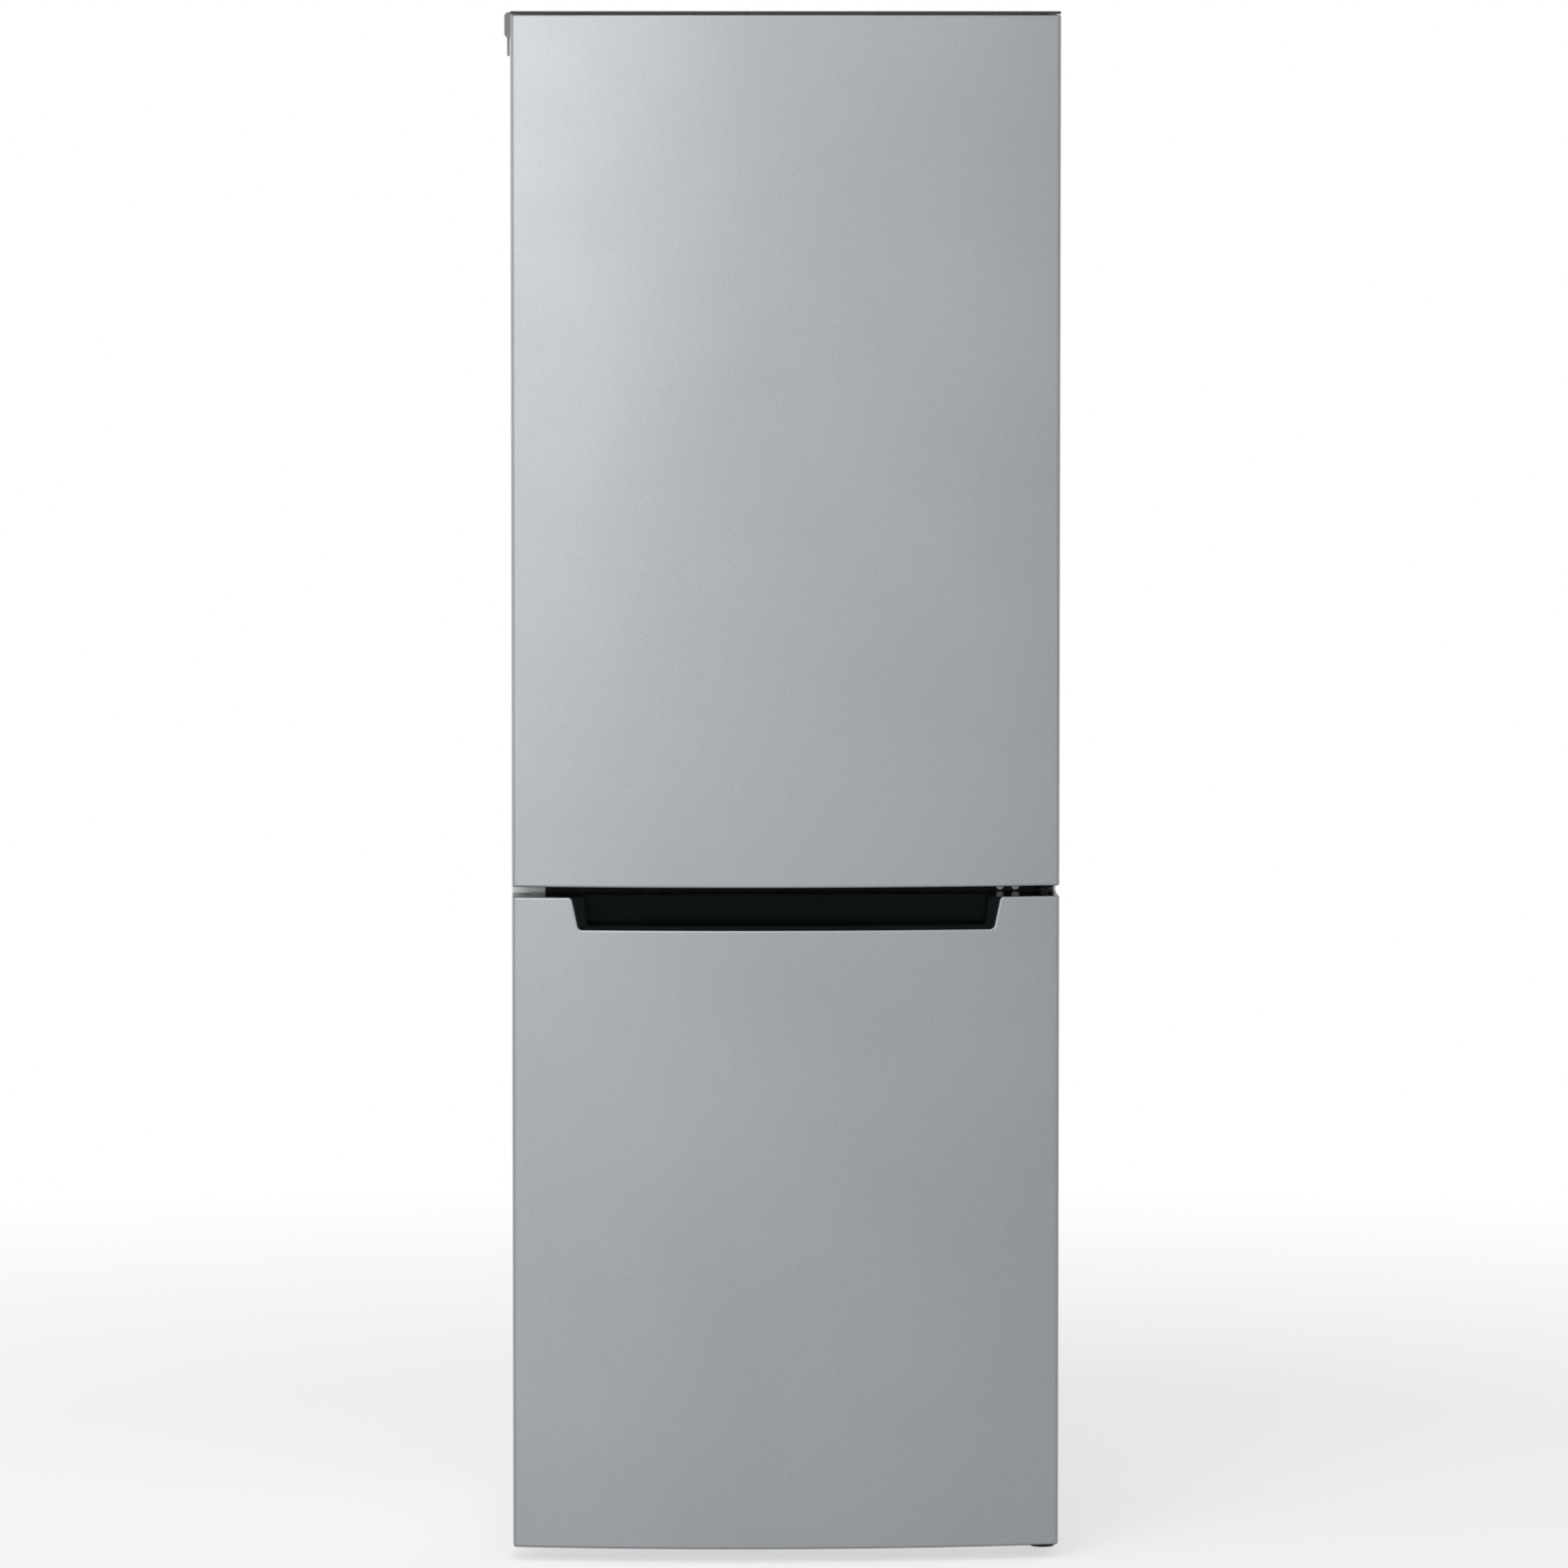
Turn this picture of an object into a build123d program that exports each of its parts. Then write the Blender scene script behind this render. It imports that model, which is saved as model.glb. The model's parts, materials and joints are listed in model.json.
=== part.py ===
from build123d import *
import math
import os

# Bottom freezer refrigerator, in millimetres. +Z is up, +X is right, the doors face -Y, and the origin
# is on the floor under the middle of the whole depth.

os.makedirs("parts", exist_ok=True)

# ---------------------------------------------------------------- driving dimensions: outside
overall_height = 1700
overall_depth = 625
door_width = 600
door_bow = 26              # how far the middle of a door stands out from its side edges
door_edge_depth = 58       # thickness of a door at its side edges
door_floor_gap = 15
door_gap = 11
lower_door_height = 718
canopy_thickness = 3.2     # top cover, which also reaches out over the upper door
canopy_clearance = 0.8
canopy_inset = 1.5         # front edge of the top cover behind the upper door's front
gasket_thickness = 10
gasket_width = 14
gasket_side_inset = 17     # gasket's outer edge from the door's side
gasket_end_inset = 8       # gasket's outer edge from the door's top or bottom
lower_gasket_lift = 12     # lower door's gasket above the cabinet's bottom
seal_clearance = 0.3
cabinet_side_inset = 0.5
condenser_space = 32       # from the cabinet's back to the rear wall spacers' ends

# ---------------------------------------------------------------- driving dimensions: walls
sheet = 0.8                # steel sheet of the cabinet
pan_sheet = 1.5            # steel sheet of the base
skin = 1.0                 # steel skin of a door
liner_wall = 2.0
cap_wall = 3.0             # end plate of a door cap
cap_skirt = 2.0
cap_height = 20
cabinet_bottom = 42
fridge_wall = 45
freezer_wall = 58
top_wall = 48
floor_wall = 52
back_wall = 50
mullion_height = 64
front_flange = 36          # width of the steel frame that the gaskets seal on
liner_corner = 14           # rounding along the sides of the rooms
liner_back_corner = 20      # rounding where the rooms' floors and ceilings meet their backs
bay_depth = 190            # compressor bay
bay_height = 235
step_cover = 50            # insulation over and in front of the compressor bay

# ---------------------------------------------------------------- driving dimensions: fits
seat_gap = 0.3             # between a loose piece and what carries it
pin_clearance = 0.06
screw_clearance = 0.1

# ---------------------------------------------------------------- driving dimensions: hinges
hinge_inset_x = 16         # hinge axis from the door's side
hinge_inset_y = 27.5       # hinge axis in front of the door's back
pin_radius = 4
pin_depth = 17
boss_radius = 9
hinge_plate = 3

# ---------------------------------------------------------------- driving dimensions: base and screws
crossbar_bottom = 20
crossbar_setback = 13      # front of the crossbar behind the cabinet's front
crossbar_depth = 55
foot_inset_x = 50          # feet and rollers from the door's side
foot_radius = 18
foot_height = 9
stem_radius = 5
stem_clearance = 0.1
roller_radius = 14
roller_width = 12
roller_inset_y = 31        # roller axle from the cabinet's back
axle_radius = 3
axle_clearance = 0.08
cheek_gap = 1
cheek_wall = 2
screw_radius = 2.2
screw_head_radius = 4.2
screw_head_depth = 2.4
screw_length = 18

# ---------------------------------------------------------------- driving dimensions: rear top rail
rail_height = 29
rail_ear = 6               # how far the rail's ears stand out from the doors' sides
rail_depth = 15
rail_wrap = 26             # how far the ears reach forward along the cabinet's sides
tail_height = 21
tail_thickness = 2.8
spacer_width = 42
spacer_half_pitch = 190

# ---------------------------------------------------------------- driving dimensions: fridge space
crisper_cover_height = 215  # top of the crisper cover above the fridge floor
top_shelf_drop = 168.3     # top shelf below the fridge ceiling
shelf_count = 3
shelf_side_gap = 1.5
shelf_front_inset = 98.2   # shelf's front behind the cabinet's front
shelf_back_gap = 32.5      # shelf's back in front of the room's back
shelf_frame = 13
shelf_frame_height = 13
cover_frame_height = 20
glass_thickness = 4
glass_lap = 6              # how far the glass reaches into its frame
rib_depth = 8
rib_height = 6
crisper_height = 184
crisper_inner_x = 4
crisper_side_gap = 5.5
crisper_front_inset = 110.2
crisper_back_gap = 45.5
crisper_grip = 12
box_wall = 2.5             # wall of bins, crispers and drawers
duct_half = 110
duct_depth = 18
duct_wall = 2.5
control_half = 130
control_inset = 28.2       # control box's front behind the cabinet's front
control_depth = 130
control_height = 48.8
control_wall = 3
knob_x = 60
knob_radius = 18
knob_depth = 12
knob_shaft_radius = 3
lens_x = (-80, 20)
lens_inset = 40            # lamp window's front behind the control box's front
lens_depth = 60

# ---------------------------------------------------------------- driving dimensions: freezer space
drawer_gap = 6
top_drawer_drop = 9.5      # top drawer below the ceiling
top_drawer_height = 176
bottom_drawer_lift = 5
bottom_drawer_drop = 31    # bottom drawer's rim below the middle drawer
drawer_front_inset = 46.2
drawer_back_gap = 8        # drawer's back in front of the air cover
drawer_step_gap = 10
drawer_side_gap = 10.5     # drawer's body from the freezer wall
rim_side_gap = 3.5
panel_side_gap = 5.5
panel_thickness = 4
rim_thickness = 4
drawer_grip = 14
air_cover_space = 69.5     # between the air cover and the freezer's back
air_cover_wall = 3
air_cover_side_gap = 3
fan_drop = 66.5            # fan axis below the freezer ceiling
fan_radius = 55

# ---------------------------------------------------------------- driving dimensions: cooling system
fan_shaft_radius = 2
fan_hub_radius = 12
fan_blade_count = 5
motor_radius = 24
motor_back_gap = 16.5
motor_length = 28
evaporator_half = 150
evaporator_lift = 23       # above the step of the freezer's floor
evaporator_height = 210
evaporator_back_gap = 12.5
evaporator_depth = 46
fin_thickness = 0.6
fin_count = 21
coil_radius = 4
coil_pitch = 30
compressor_x = -60
compressor_radius = 70
compressor_height = 152
grommet_height = 18.5
grommet_radius = 9
compressor_foot_pitch = 62
condenser_gap = 12         # condenser tube's centre line behind the cabinet's back
condenser_tube = 2.4
condenser_wire = 0.8
wire_gap = 0.2
condenser_lift = 63        # lowest run of the condenser above the compressor bay
condenser_top_drop = 96.8
condenser_side_gap = 74.5
condenser_rows = 20
condenser_wires = 29
suction_radius = 4
drier_radius = 8
drier_length = 70
line_bend = 14

# ---------------------------------------------------------------- driving dimensions: doors
door_corner = 5            # rounding of a door's front side edges
least_corner = 0.5         # and the least that is left of it inside
skin_fold = 8              # skin's edge folded in under the liner
plug_height = 8            # raised middle of a door liner
plug_side_gap = 7          # raised middle from the gasket's inner edge
plug_end_inset = 4
notch_side = 65            # handle notch in the lower door's skin, from the door's side
notch_taper = 7.5          # how much narrower each side of it is at its bottom
notch_depth = 35.5
notch_corner = 5
pocket_top_rim = 13        # black rim between the notch's edge and the pocket, at the top
pocket_bottom_rim = 8.7
pocket_back = 22           # pocket's back wall behind the door's side edges
pocket_floor_drop = 18     # pocket's floor below the notch's edge
pocket_lip = 4.5           # rim above the notch's bottom edge
pocket_front_wall = 4
handle_body_lap = 6
dike_side_gap = 10.5       # door liner's dikes from the fridge wall
dike_width = 16
dike_height = 52.5
dike_floor_lift = 20
dike_top_drop = 29

# ---------------------------------------------------------------- driving dimensions: door bins
bin_side_gap = 6           # door bins from the dikes
bin_back_gap = 1
bin_depth = 94.5
dairy_rim_drop = 148.8     # dairy bin's rim below the fridge ceiling
dairy_height = 80
middle_bin_height = 85
bottle_bin_lift = 29.5     # bottle bin above the fridge floor
bottle_bin_height = 105
hook_reach = 5.3
hook_length = 30
hook_height = 45
hook_wall = 4.7
lug_height = 14
lug_drop = 15              # top of a lug below the top of its hook
lid_thickness = 2
lid_pin_radius = 2

# ---------------------------------------------------------------- derived places
door_half = door_width / 2
front_apex_y = -overall_depth / 2
door_front_y = front_apex_y + door_bow
door_back_y = door_front_y + door_edge_depth
cabinet_front_y = door_back_y + gasket_thickness + seal_clearance
cabinet_back_y = overall_depth / 2 - condenser_space
cabinet_half = door_half - cabinet_side_inset
cabinet_top = overall_height - canopy_thickness
bow_radius = (door_half ** 2 + door_bow ** 2) / (2 * door_bow)
bow_centre_y = front_apex_y + bow_radius

lower_door_bottom = door_floor_gap
lower_door_top = lower_door_bottom + lower_door_height
upper_door_bottom = lower_door_top + door_gap
upper_door_top = cabinet_top - canopy_clearance
gap_middle = (lower_door_top + upper_door_bottom) / 2

inner_half = cabinet_half - sheet            # inside face of the side sheets
inner_front_y = cabinet_front_y + sheet
inner_back_y = cabinet_back_y - sheet
inner_top = cabinet_top - sheet
pan_top = cabinet_bottom + pan_sheet
flange_half = cabinet_half - front_flange    # steel frame's opening

fridge_half = cabinet_half - fridge_wall
fridge_floor = gap_middle + mullion_height / 2
fridge_ceiling = cabinet_top - top_wall
freezer_half = cabinet_half - freezer_wall
freezer_floor = cabinet_bottom + floor_wall
freezer_ceiling = gap_middle - mullion_height / 2
room_back_y = cabinet_back_y - back_wall
bay_front_y = cabinet_back_y - bay_depth
bay_top = cabinet_bottom + bay_height
step_top = bay_top + step_cover
step_front_y = bay_front_y - step_cover

hinge_x = door_half - hinge_inset_x
hinge_y = door_back_y - hinge_inset_y

shelf_front_y = cabinet_front_y + shelf_front_inset
shelf_back_y = room_back_y - shelf_back_gap
crisper_front_y = cabinet_front_y + crisper_front_inset
crisper_back_y = room_back_y - crisper_back_gap
control_front_y = cabinet_front_y + control_inset
control_y = (control_front_y, control_front_y + control_depth)
lens_y = (control_front_y + lens_inset, control_front_y + lens_inset + lens_depth)
air_cover_y = (room_back_y - air_cover_space - air_cover_wall, room_back_y - air_cover_space)
drawer_front_y = cabinet_front_y + drawer_front_inset
drawer_back_y = air_cover_y[0] - drawer_back_gap
fan_z = freezer_ceiling - fan_drop
motor_y = (room_back_y - motor_back_gap - motor_length, room_back_y - motor_back_gap)
evaporator_z = (step_top + evaporator_lift, step_top + evaporator_lift + evaporator_height)
evaporator_y = (room_back_y - evaporator_back_gap - evaporator_depth, room_back_y - evaporator_back_gap)
compressor_z = (pan_top + grommet_height, pan_top + grommet_height + compressor_height)
condenser_z = (bay_top + condenser_lift, cabinet_top - condenser_top_drop)
condenser_half = cabinet_half - condenser_side_gap

plug_half = door_half - gasket_side_inset - gasket_width - plug_side_gap
plug_back_y = door_back_y + plug_height
notch_top_half = door_half - notch_side
notch_bottom_half = notch_top_half - notch_taper
pocket_top_half = notch_top_half - pocket_top_rim
pocket_bottom_half = notch_bottom_half - pocket_bottom_rim
handle_body_half = notch_top_half + handle_body_lap
dike_outer_half = fridge_half - dike_side_gap
dike_inner_half = dike_outer_half - dike_width
dike_back_y = plug_back_y + dike_height
bin_half = dike_inner_half - bin_side_gap
bin_front_y = plug_back_y + bin_back_gap + bin_depth
dairy_rim = fridge_ceiling - dairy_rim_drop
bottle_bin_bottom = fridge_floor + bottle_bin_lift
middle_bin_bottom = (bottle_bin_bottom + dairy_rim - dairy_height) / 2
middle_bin_z = (middle_bin_bottom, middle_bin_bottom + middle_bin_height)
bottle_bin_z = (bottle_bin_bottom, bottle_bin_bottom + bottle_bin_height)


# ---------------------------------------------------------------- shared shapes
def both(half):
    """The pair of limits from -half to half."""
    return (-half, half)


def inwards(limits, amount):
    """A pair of limits, each moved towards the other by amount."""
    return (limits[0] + amount, limits[1] - amount)


def sorted_pair(first, second):
    """Two places as limits, the lower one first."""
    return (min(first, second), max(first, second))


def block(x, y, z, mode=Mode.ADD):
    """A box between three pairs of limits, in the open part."""
    with Locations(((x[0] + x[1]) / 2, (y[0] + y[1]) / 2, (z[0] + z[1]) / 2)):
        Box(abs(x[1] - x[0]), abs(y[1] - y[0]), abs(z[1] - z[0]), mode=mode)


def round_bar(start, end, radius, mode=Mode.ADD):
    """A cylinder from one point to another, in the open part."""
    axis = Vector(*end) - Vector(*start)
    with BuildSketch(Plane(origin=start, z_dir=axis)) as section:
        Circle(radius)
    extrude(section.sketch, amount=axis.length, mode=mode)


def prism_x(x, points, mode=Mode.ADD):
    """A prism along X over an outline of (y, z) points, in the open part."""
    with BuildSketch(Plane(origin=(x[0], 0, 0), x_dir=(0, 1, 0), z_dir=(1, 0, 0))) as outline:
        with BuildLine():
            Polyline(*points, close=True)
        make_face()
    extrude(outline.sketch, amount=x[1] - x[0], mode=mode)


def front_y(x, inset):
    """Y of the doors' bowed front at x, moved inwards by inset."""
    return bow_centre_y - math.sqrt((bow_radius - inset) ** 2 - x ** 2)


def door_slab(inset, back_y, z, mode=Mode.ADD, side=None):
    """A slab with a door's plan shape, its front and sides moved inwards, in the open part.

    side moves the sides inwards by another amount than the front.
    """
    half = door_half - (inset if side is None else side)
    corner_y = front_y(half, inset)
    with BuildSketch(Plane.XY.offset(z[0])) as outline:
        with BuildLine():
            ThreePointArc((-half, corner_y), (0, front_apex_y + inset), (half, corner_y))
            Polyline((half, corner_y), (half, back_y), (-half, back_y), (-half, corner_y))
        make_face()
        fillet(outline.vertices().sort_by(Axis.Y)[:2], max(door_corner - inset, least_corner))
    extrude(outline.sketch, amount=z[1] - z[0], mode=mode)


def finish(piece, name):
    """Label a finished piece and write its file."""
    piece.part.label = name
    export_step(piece.part, f"parts/{name}.step")


def room_shape(half, depth_y, z, side_corner, back_corner, step=None):
    """A room of the cabinet as a solid, rounded at its sides and back, with a step for the bay."""
    front, back = depth_y
    low, high = z
    outline_points = [(front, low), (back, low), (back, high), (front, high)]
    if step:
        step_y, step_z = step
        outline_points[1:2] = [(step_y, low), (step_y, step_z), (back, step_z)]
    with BuildPart() as room:
        with BuildSketch(Plane(origin=(-half, 0, 0), x_dir=(0, 1, 0), z_dir=(1, 0, 0))) as outline:
            with BuildLine():
                Polyline(*outline_points, close=True)
            make_face()
            fillet(outline.vertices().filter_by(lambda corner: corner.X > front + 1), back_corner)
        extrude(amount=2 * half)
        side_edges = room.edges().filter_by(
            lambda edge: abs(abs(edge.center().X) - half) < 0.01 and edge.center().Y > front + 1)
        fillet(side_edges, side_corner)
    return room.part


# ---------------------------------------------------------------- cabinet
freezer_step = (step_front_y, step_top)
grown_step = (step_front_y + liner_wall, step_top - liner_wall)
fridge_room = room_shape(
    fridge_half, (cabinet_front_y - 1, room_back_y), (fridge_floor, fridge_ceiling),
    liner_corner, liner_back_corner)
fridge_room_grown = room_shape(
    fridge_half + liner_wall, (inner_front_y, room_back_y + liner_wall),
    (fridge_floor - liner_wall, fridge_ceiling + liner_wall),
    liner_corner + liner_wall, liner_back_corner + liner_wall)
freezer_room = room_shape(
    freezer_half, (cabinet_front_y - 1, room_back_y), (freezer_floor, freezer_ceiling),
    liner_corner, liner_back_corner, freezer_step)
freezer_room_grown = room_shape(
    freezer_half + liner_wall, (inner_front_y, room_back_y + liner_wall),
    (freezer_floor - liner_wall, freezer_ceiling + liner_wall),
    liner_corner + liner_wall, liner_back_corner + liner_wall, grown_step)


def screw(head, way, clearance=0.0, mode=Mode.ADD):
    """A countersunk screw, its head's face at a point and its shank along way, in the open part."""
    length = screw_length + 2 * clearance
    with Locations(Plane(origin=head, z_dir=way)):
        Cone(screw_head_radius + clearance, screw_radius + clearance, screw_head_depth,
             align=(Align.CENTER, Align.CENTER, Align.MIN), mode=mode)
        Cylinder(screw_radius + clearance, length,
                 align=(Align.CENTER, Align.CENTER, Align.MIN), mode=mode)


def screw_holes(spots):
    """Clearance holes for screws, cut from the open part."""
    for head, way in spots:
        screw(head, way, screw_clearance, Mode.SUBTRACT)


# ---------------------------------------------------------------- hinge places
hinge_plate_front = 12     # how far a hinge plate reaches in front of its pin
hinge_plate_half = 13
hinge_plate_inner = 22
top_hinge_reach = 68       # how far the top hinge reaches back over the cabinet
middle_flange_width = 67
middle_flange_height = mullion_height - 2 * (gasket_width + gasket_end_inset)
hinge_limits_x = (hinge_x - hinge_plate_inner, hinge_x + hinge_plate_half)
top_hinge_limits_y = (hinge_y - hinge_plate_front, cabinet_front_y + top_hinge_reach)
middle_flange_x = (hinge_limits_x[1] - middle_flange_width, hinge_limits_x[1])
middle_screw_places = (8, 25)   # from the flange's far end
bottom_screw_half_pitch = 9.5
crossbar_front_y = cabinet_front_y + crossbar_setback
crossbar_middle = (crossbar_bottom + cabinet_bottom) / 2
bottom_plate_drop = 2.5    # bottom hinge's plate below the lower door
bottom_plate_top = door_floor_gap - bottom_plate_drop
top_screws = [
    ((hinge_x - hinge_plate_front / 3, cabinet_front_y + along, overall_height), (0, 0, -1))
    for along in (top_hinge_reach / 3, top_hinge_reach * 3 / 4)]
middle_screws = [
    ((middle_flange_x[0] + along, cabinet_front_y - hinge_plate, gap_middle), (0, 1, 0))
    for along in middle_screw_places]
bottom_screws = [
    ((sum(hinge_limits_x) / 2 + along, crossbar_front_y - hinge_plate, crossbar_middle), (0, 1, 0))
    for along in both(bottom_screw_half_pitch)]

# ---------------------------------------------------------------- outer shell and rear panel
with BuildPart() as outer_shell:
    block(both(cabinet_half), (cabinet_front_y, cabinet_back_y), (cabinet_bottom, cabinet_top))
    block(both(inner_half), (inner_front_y, cabinet_back_y + 1), (cabinet_bottom - 1, inner_top),
          Mode.SUBTRACT)
    block(both(flange_half), (cabinet_front_y - 1, inner_front_y + 1),
          (cabinet_bottom - 1, cabinet_top - front_flange), Mode.SUBTRACT)
    screw_holes(top_screws)
finish(outer_shell, "outer_shell")

with BuildPart() as rear_panel:
    prism_x(both(inner_half), [
        (inner_back_y, inner_top), (cabinet_back_y, inner_top), (cabinet_back_y, bay_top),
        (bay_front_y, bay_top), (bay_front_y, pan_top), (bay_front_y - sheet, pan_top),
        (bay_front_y - sheet, bay_top + sheet), (inner_back_y, bay_top + sheet)])
finish(rear_panel, "rear_panel")

# ---------------------------------------------------------------- base pan with roller brackets
foot_x = door_half - foot_inset_x
foot_y = crossbar_front_y + crossbar_depth / 2
roller_y = cabinet_back_y - roller_inset_y
gland_x = -door_half + 2 * foot_inset_x
gland_radius = 8
gland_bore = 4
gland_shank = 8            # how far the gland reaches in behind its sheet
gland_flange_radius = 11
gland_flange_depth = 6
gland_rise = 19
gland_z = pan_top + gland_rise
gland_tab_half = 24
gland_tab_height = 36
boss_wall = 5
cheek_half = roller_width / 2 + cheek_gap
axle_half = cheek_half + cheek_wall + 1
cheek_reach = 10
cheek_drop = 3             # cheek's lower end below the axle
bar_wall = 2
stem_headroom = 4

with BuildPart() as base_pan:
    block(both(inner_half), (inner_front_y, cabinet_back_y), (cabinet_bottom, pan_top))
    block(both(flange_half), (cabinet_front_y, inner_front_y),
          (cabinet_bottom, freezer_floor - liner_corner))
    block(both(inner_half), (crossbar_front_y, crossbar_front_y + crossbar_depth),
          (crossbar_bottom, cabinet_bottom))
    block(both(inner_half + 1), (crossbar_front_y + bar_wall, crossbar_front_y + crossbar_depth - bar_wall),
          (crossbar_bottom + bar_wall, cabinet_bottom), Mode.SUBTRACT)
    for side in (-1, 1):
        round_bar((side * foot_x, foot_y, crossbar_bottom), (side * foot_x, foot_y, cabinet_bottom),
                  stem_radius + boss_wall)
        round_bar((side * foot_x, foot_y, crossbar_bottom - 1), (side * foot_x, foot_y, cabinet_bottom - 1),
                  stem_radius + stem_clearance, Mode.SUBTRACT)
        for cheek in (-1, 1):
            inner_x = side * foot_x + cheek * cheek_half
            block((inner_x, inner_x + cheek * cheek_wall), (roller_y - cheek_reach, roller_y + cheek_reach),
                  (roller_radius - axle_radius - cheek_drop, cabinet_bottom))
        round_bar((side * foot_x - axle_half, roller_y, roller_radius),
                  (side * foot_x + axle_half, roller_y, roller_radius), axle_radius)
    block((gland_x - gland_tab_half, gland_x + gland_tab_half), (cabinet_back_y - pan_sheet, cabinet_back_y),
          (pan_top, pan_top + gland_tab_height))
    round_bar((gland_x, cabinet_back_y - pan_sheet - 1, gland_z), (gland_x, cabinet_back_y + 1, gland_z),
              gland_radius + pin_clearance, Mode.SUBTRACT)
    screw_holes(bottom_screws)
finish(base_pan, "base_pan")

gland_front_y = cabinet_back_y - pan_sheet - gland_shank
gland_back_y = cabinet_back_y + gland_flange_depth
with BuildPart() as cable_gland:
    round_bar((gland_x, gland_front_y, gland_z), (gland_x, cabinet_back_y, gland_z), gland_radius)
    round_bar((gland_x, cabinet_back_y, gland_z), (gland_x, gland_back_y, gland_z), gland_flange_radius)
    round_bar((gland_x, gland_front_y - 1, gland_z), (gland_x, gland_back_y + 1, gland_z), gland_bore,
              Mode.SUBTRACT)
finish(cable_gland, "cable_gland")

for side, side_name in ((-1, "left"), (1, "right")):
    with BuildPart() as foot:
        round_bar((side * foot_x, foot_y, 0), (side * foot_x, foot_y, foot_height), foot_radius)
        chamfer(foot.faces().sort_by(Axis.Z)[-1].edges(), 2)
        round_bar((side * foot_x, foot_y, foot_height),
                  (side * foot_x, foot_y, cabinet_bottom - stem_headroom), stem_radius)
    finish(foot, f"foot_{side_name}")
    with BuildPart() as roller:
        round_bar((side * foot_x - roller_width / 2, roller_y, roller_radius),
                  (side * foot_x + roller_width / 2, roller_y, roller_radius), roller_radius)
        chamfer(roller.edges().filter_by(GeomType.CIRCLE), 1)
        round_bar((side * foot_x - roller_width, roller_y, roller_radius),
                  (side * foot_x + roller_width, roller_y, roller_radius),
                  axle_radius + axle_clearance, Mode.SUBTRACT)
    finish(roller, f"roller_{side_name}")

# ---------------------------------------------------------------- levels inside
cover_level = fridge_floor + crisper_cover_height
shelf_pitch = (fridge_ceiling - top_shelf_drop - cover_level) / shelf_count
shelf_levels = [cover_level + shelf_pitch * (row + 1) for row in range(shelf_count)]
top_drawer = (freezer_ceiling - top_drawer_drop - top_drawer_height, freezer_ceiling - top_drawer_drop)
middle_drawer = (step_top + drawer_gap, top_drawer[0] - drawer_gap)
bottom_drawer = (freezer_floor + bottom_drawer_lift, middle_drawer[0] - bottom_drawer_drop)
freezer_drawers = {
    "top": (top_drawer, drawer_back_y),
    "middle": (middle_drawer, drawer_back_y),
    "bottom": (bottom_drawer, step_front_y - drawer_step_gap)}
rib_inset = 10             # ends of a rib inside the ends of what it carries


def ribs(half, y, top):
    """A pair of moulded ribs on a room's side walls, in the open part."""
    for side in (-1, 1):
        block((side * (half - rib_depth), side * (half + liner_wall / 2)), y, (top - rib_height, top))


# ---------------------------------------------------------------- liners, foam and the rail between
with BuildPart() as fridge_liner:
    add(fridge_room_grown)
    block(both(inner_half), (inner_front_y, inner_front_y + liner_wall), (gap_middle + 0.5, inner_top))
    add(fridge_room, mode=Mode.SUBTRACT)
    for level, frame_height in [(cover_level, cover_frame_height)] + [
            (level, shelf_frame_height) for level in shelf_levels]:
        ribs(fridge_half, (shelf_front_y + rib_inset, shelf_back_y - rib_inset), level - frame_height)
    screw_holes(middle_screws)
finish(fridge_liner, "fridge_liner")

with BuildPart() as freezer_liner:
    add(freezer_room_grown)
    block(both(inner_half), (inner_front_y, inner_front_y + liner_wall), (pan_top, gap_middle - 0.5))
    add(freezer_room, mode=Mode.SUBTRACT)
    for (low, high), back in freezer_drawers.values():
        rib_y = (drawer_front_y + 2 * rib_inset, back - rib_inset)
        ribs(freezer_half, rib_y, high - rim_thickness - seat_gap)
    screw_holes(middle_screws)
finish(freezer_liner, "freezer_liner")

with BuildPart() as insulation_foam:
    block(both(inner_half), (inner_front_y + liner_wall, inner_back_y), (pan_top, inner_top))
    block(both(inner_half + 1), (bay_front_y - sheet, cabinet_back_y), (0, bay_top + sheet), Mode.SUBTRACT)
    add(fridge_room_grown, mode=Mode.SUBTRACT)
    add(freezer_room_grown, mode=Mode.SUBTRACT)
    screw_holes(top_screws + middle_screws)
finish(insulation_foam, "insulation_foam")

rail_lap = 4               # strip of liner flange left showing beside the rail
with BuildPart() as mullion_rail:
    block(both(flange_half), (cabinet_front_y, inner_front_y),
          (freezer_ceiling + rail_lap, fridge_floor - rail_lap))
    screw_holes(middle_screws)
finish(mullion_rail, "mullion_rail")

# ---------------------------------------------------------------- top cover and rear top rail
with BuildPart() as top_cover:
    door_slab(canopy_inset, cabinet_back_y, (cabinet_top, overall_height), side=0)
    block((hinge_limits_x[0] - seat_gap, hinge_limits_x[1] + seat_gap),
          (top_hinge_limits_y[0] - seat_gap, top_hinge_limits_y[1] + seat_gap),
          (cabinet_top - 1, overall_height + 1), Mode.SUBTRACT)
finish(top_cover, "top_cover")

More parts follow.
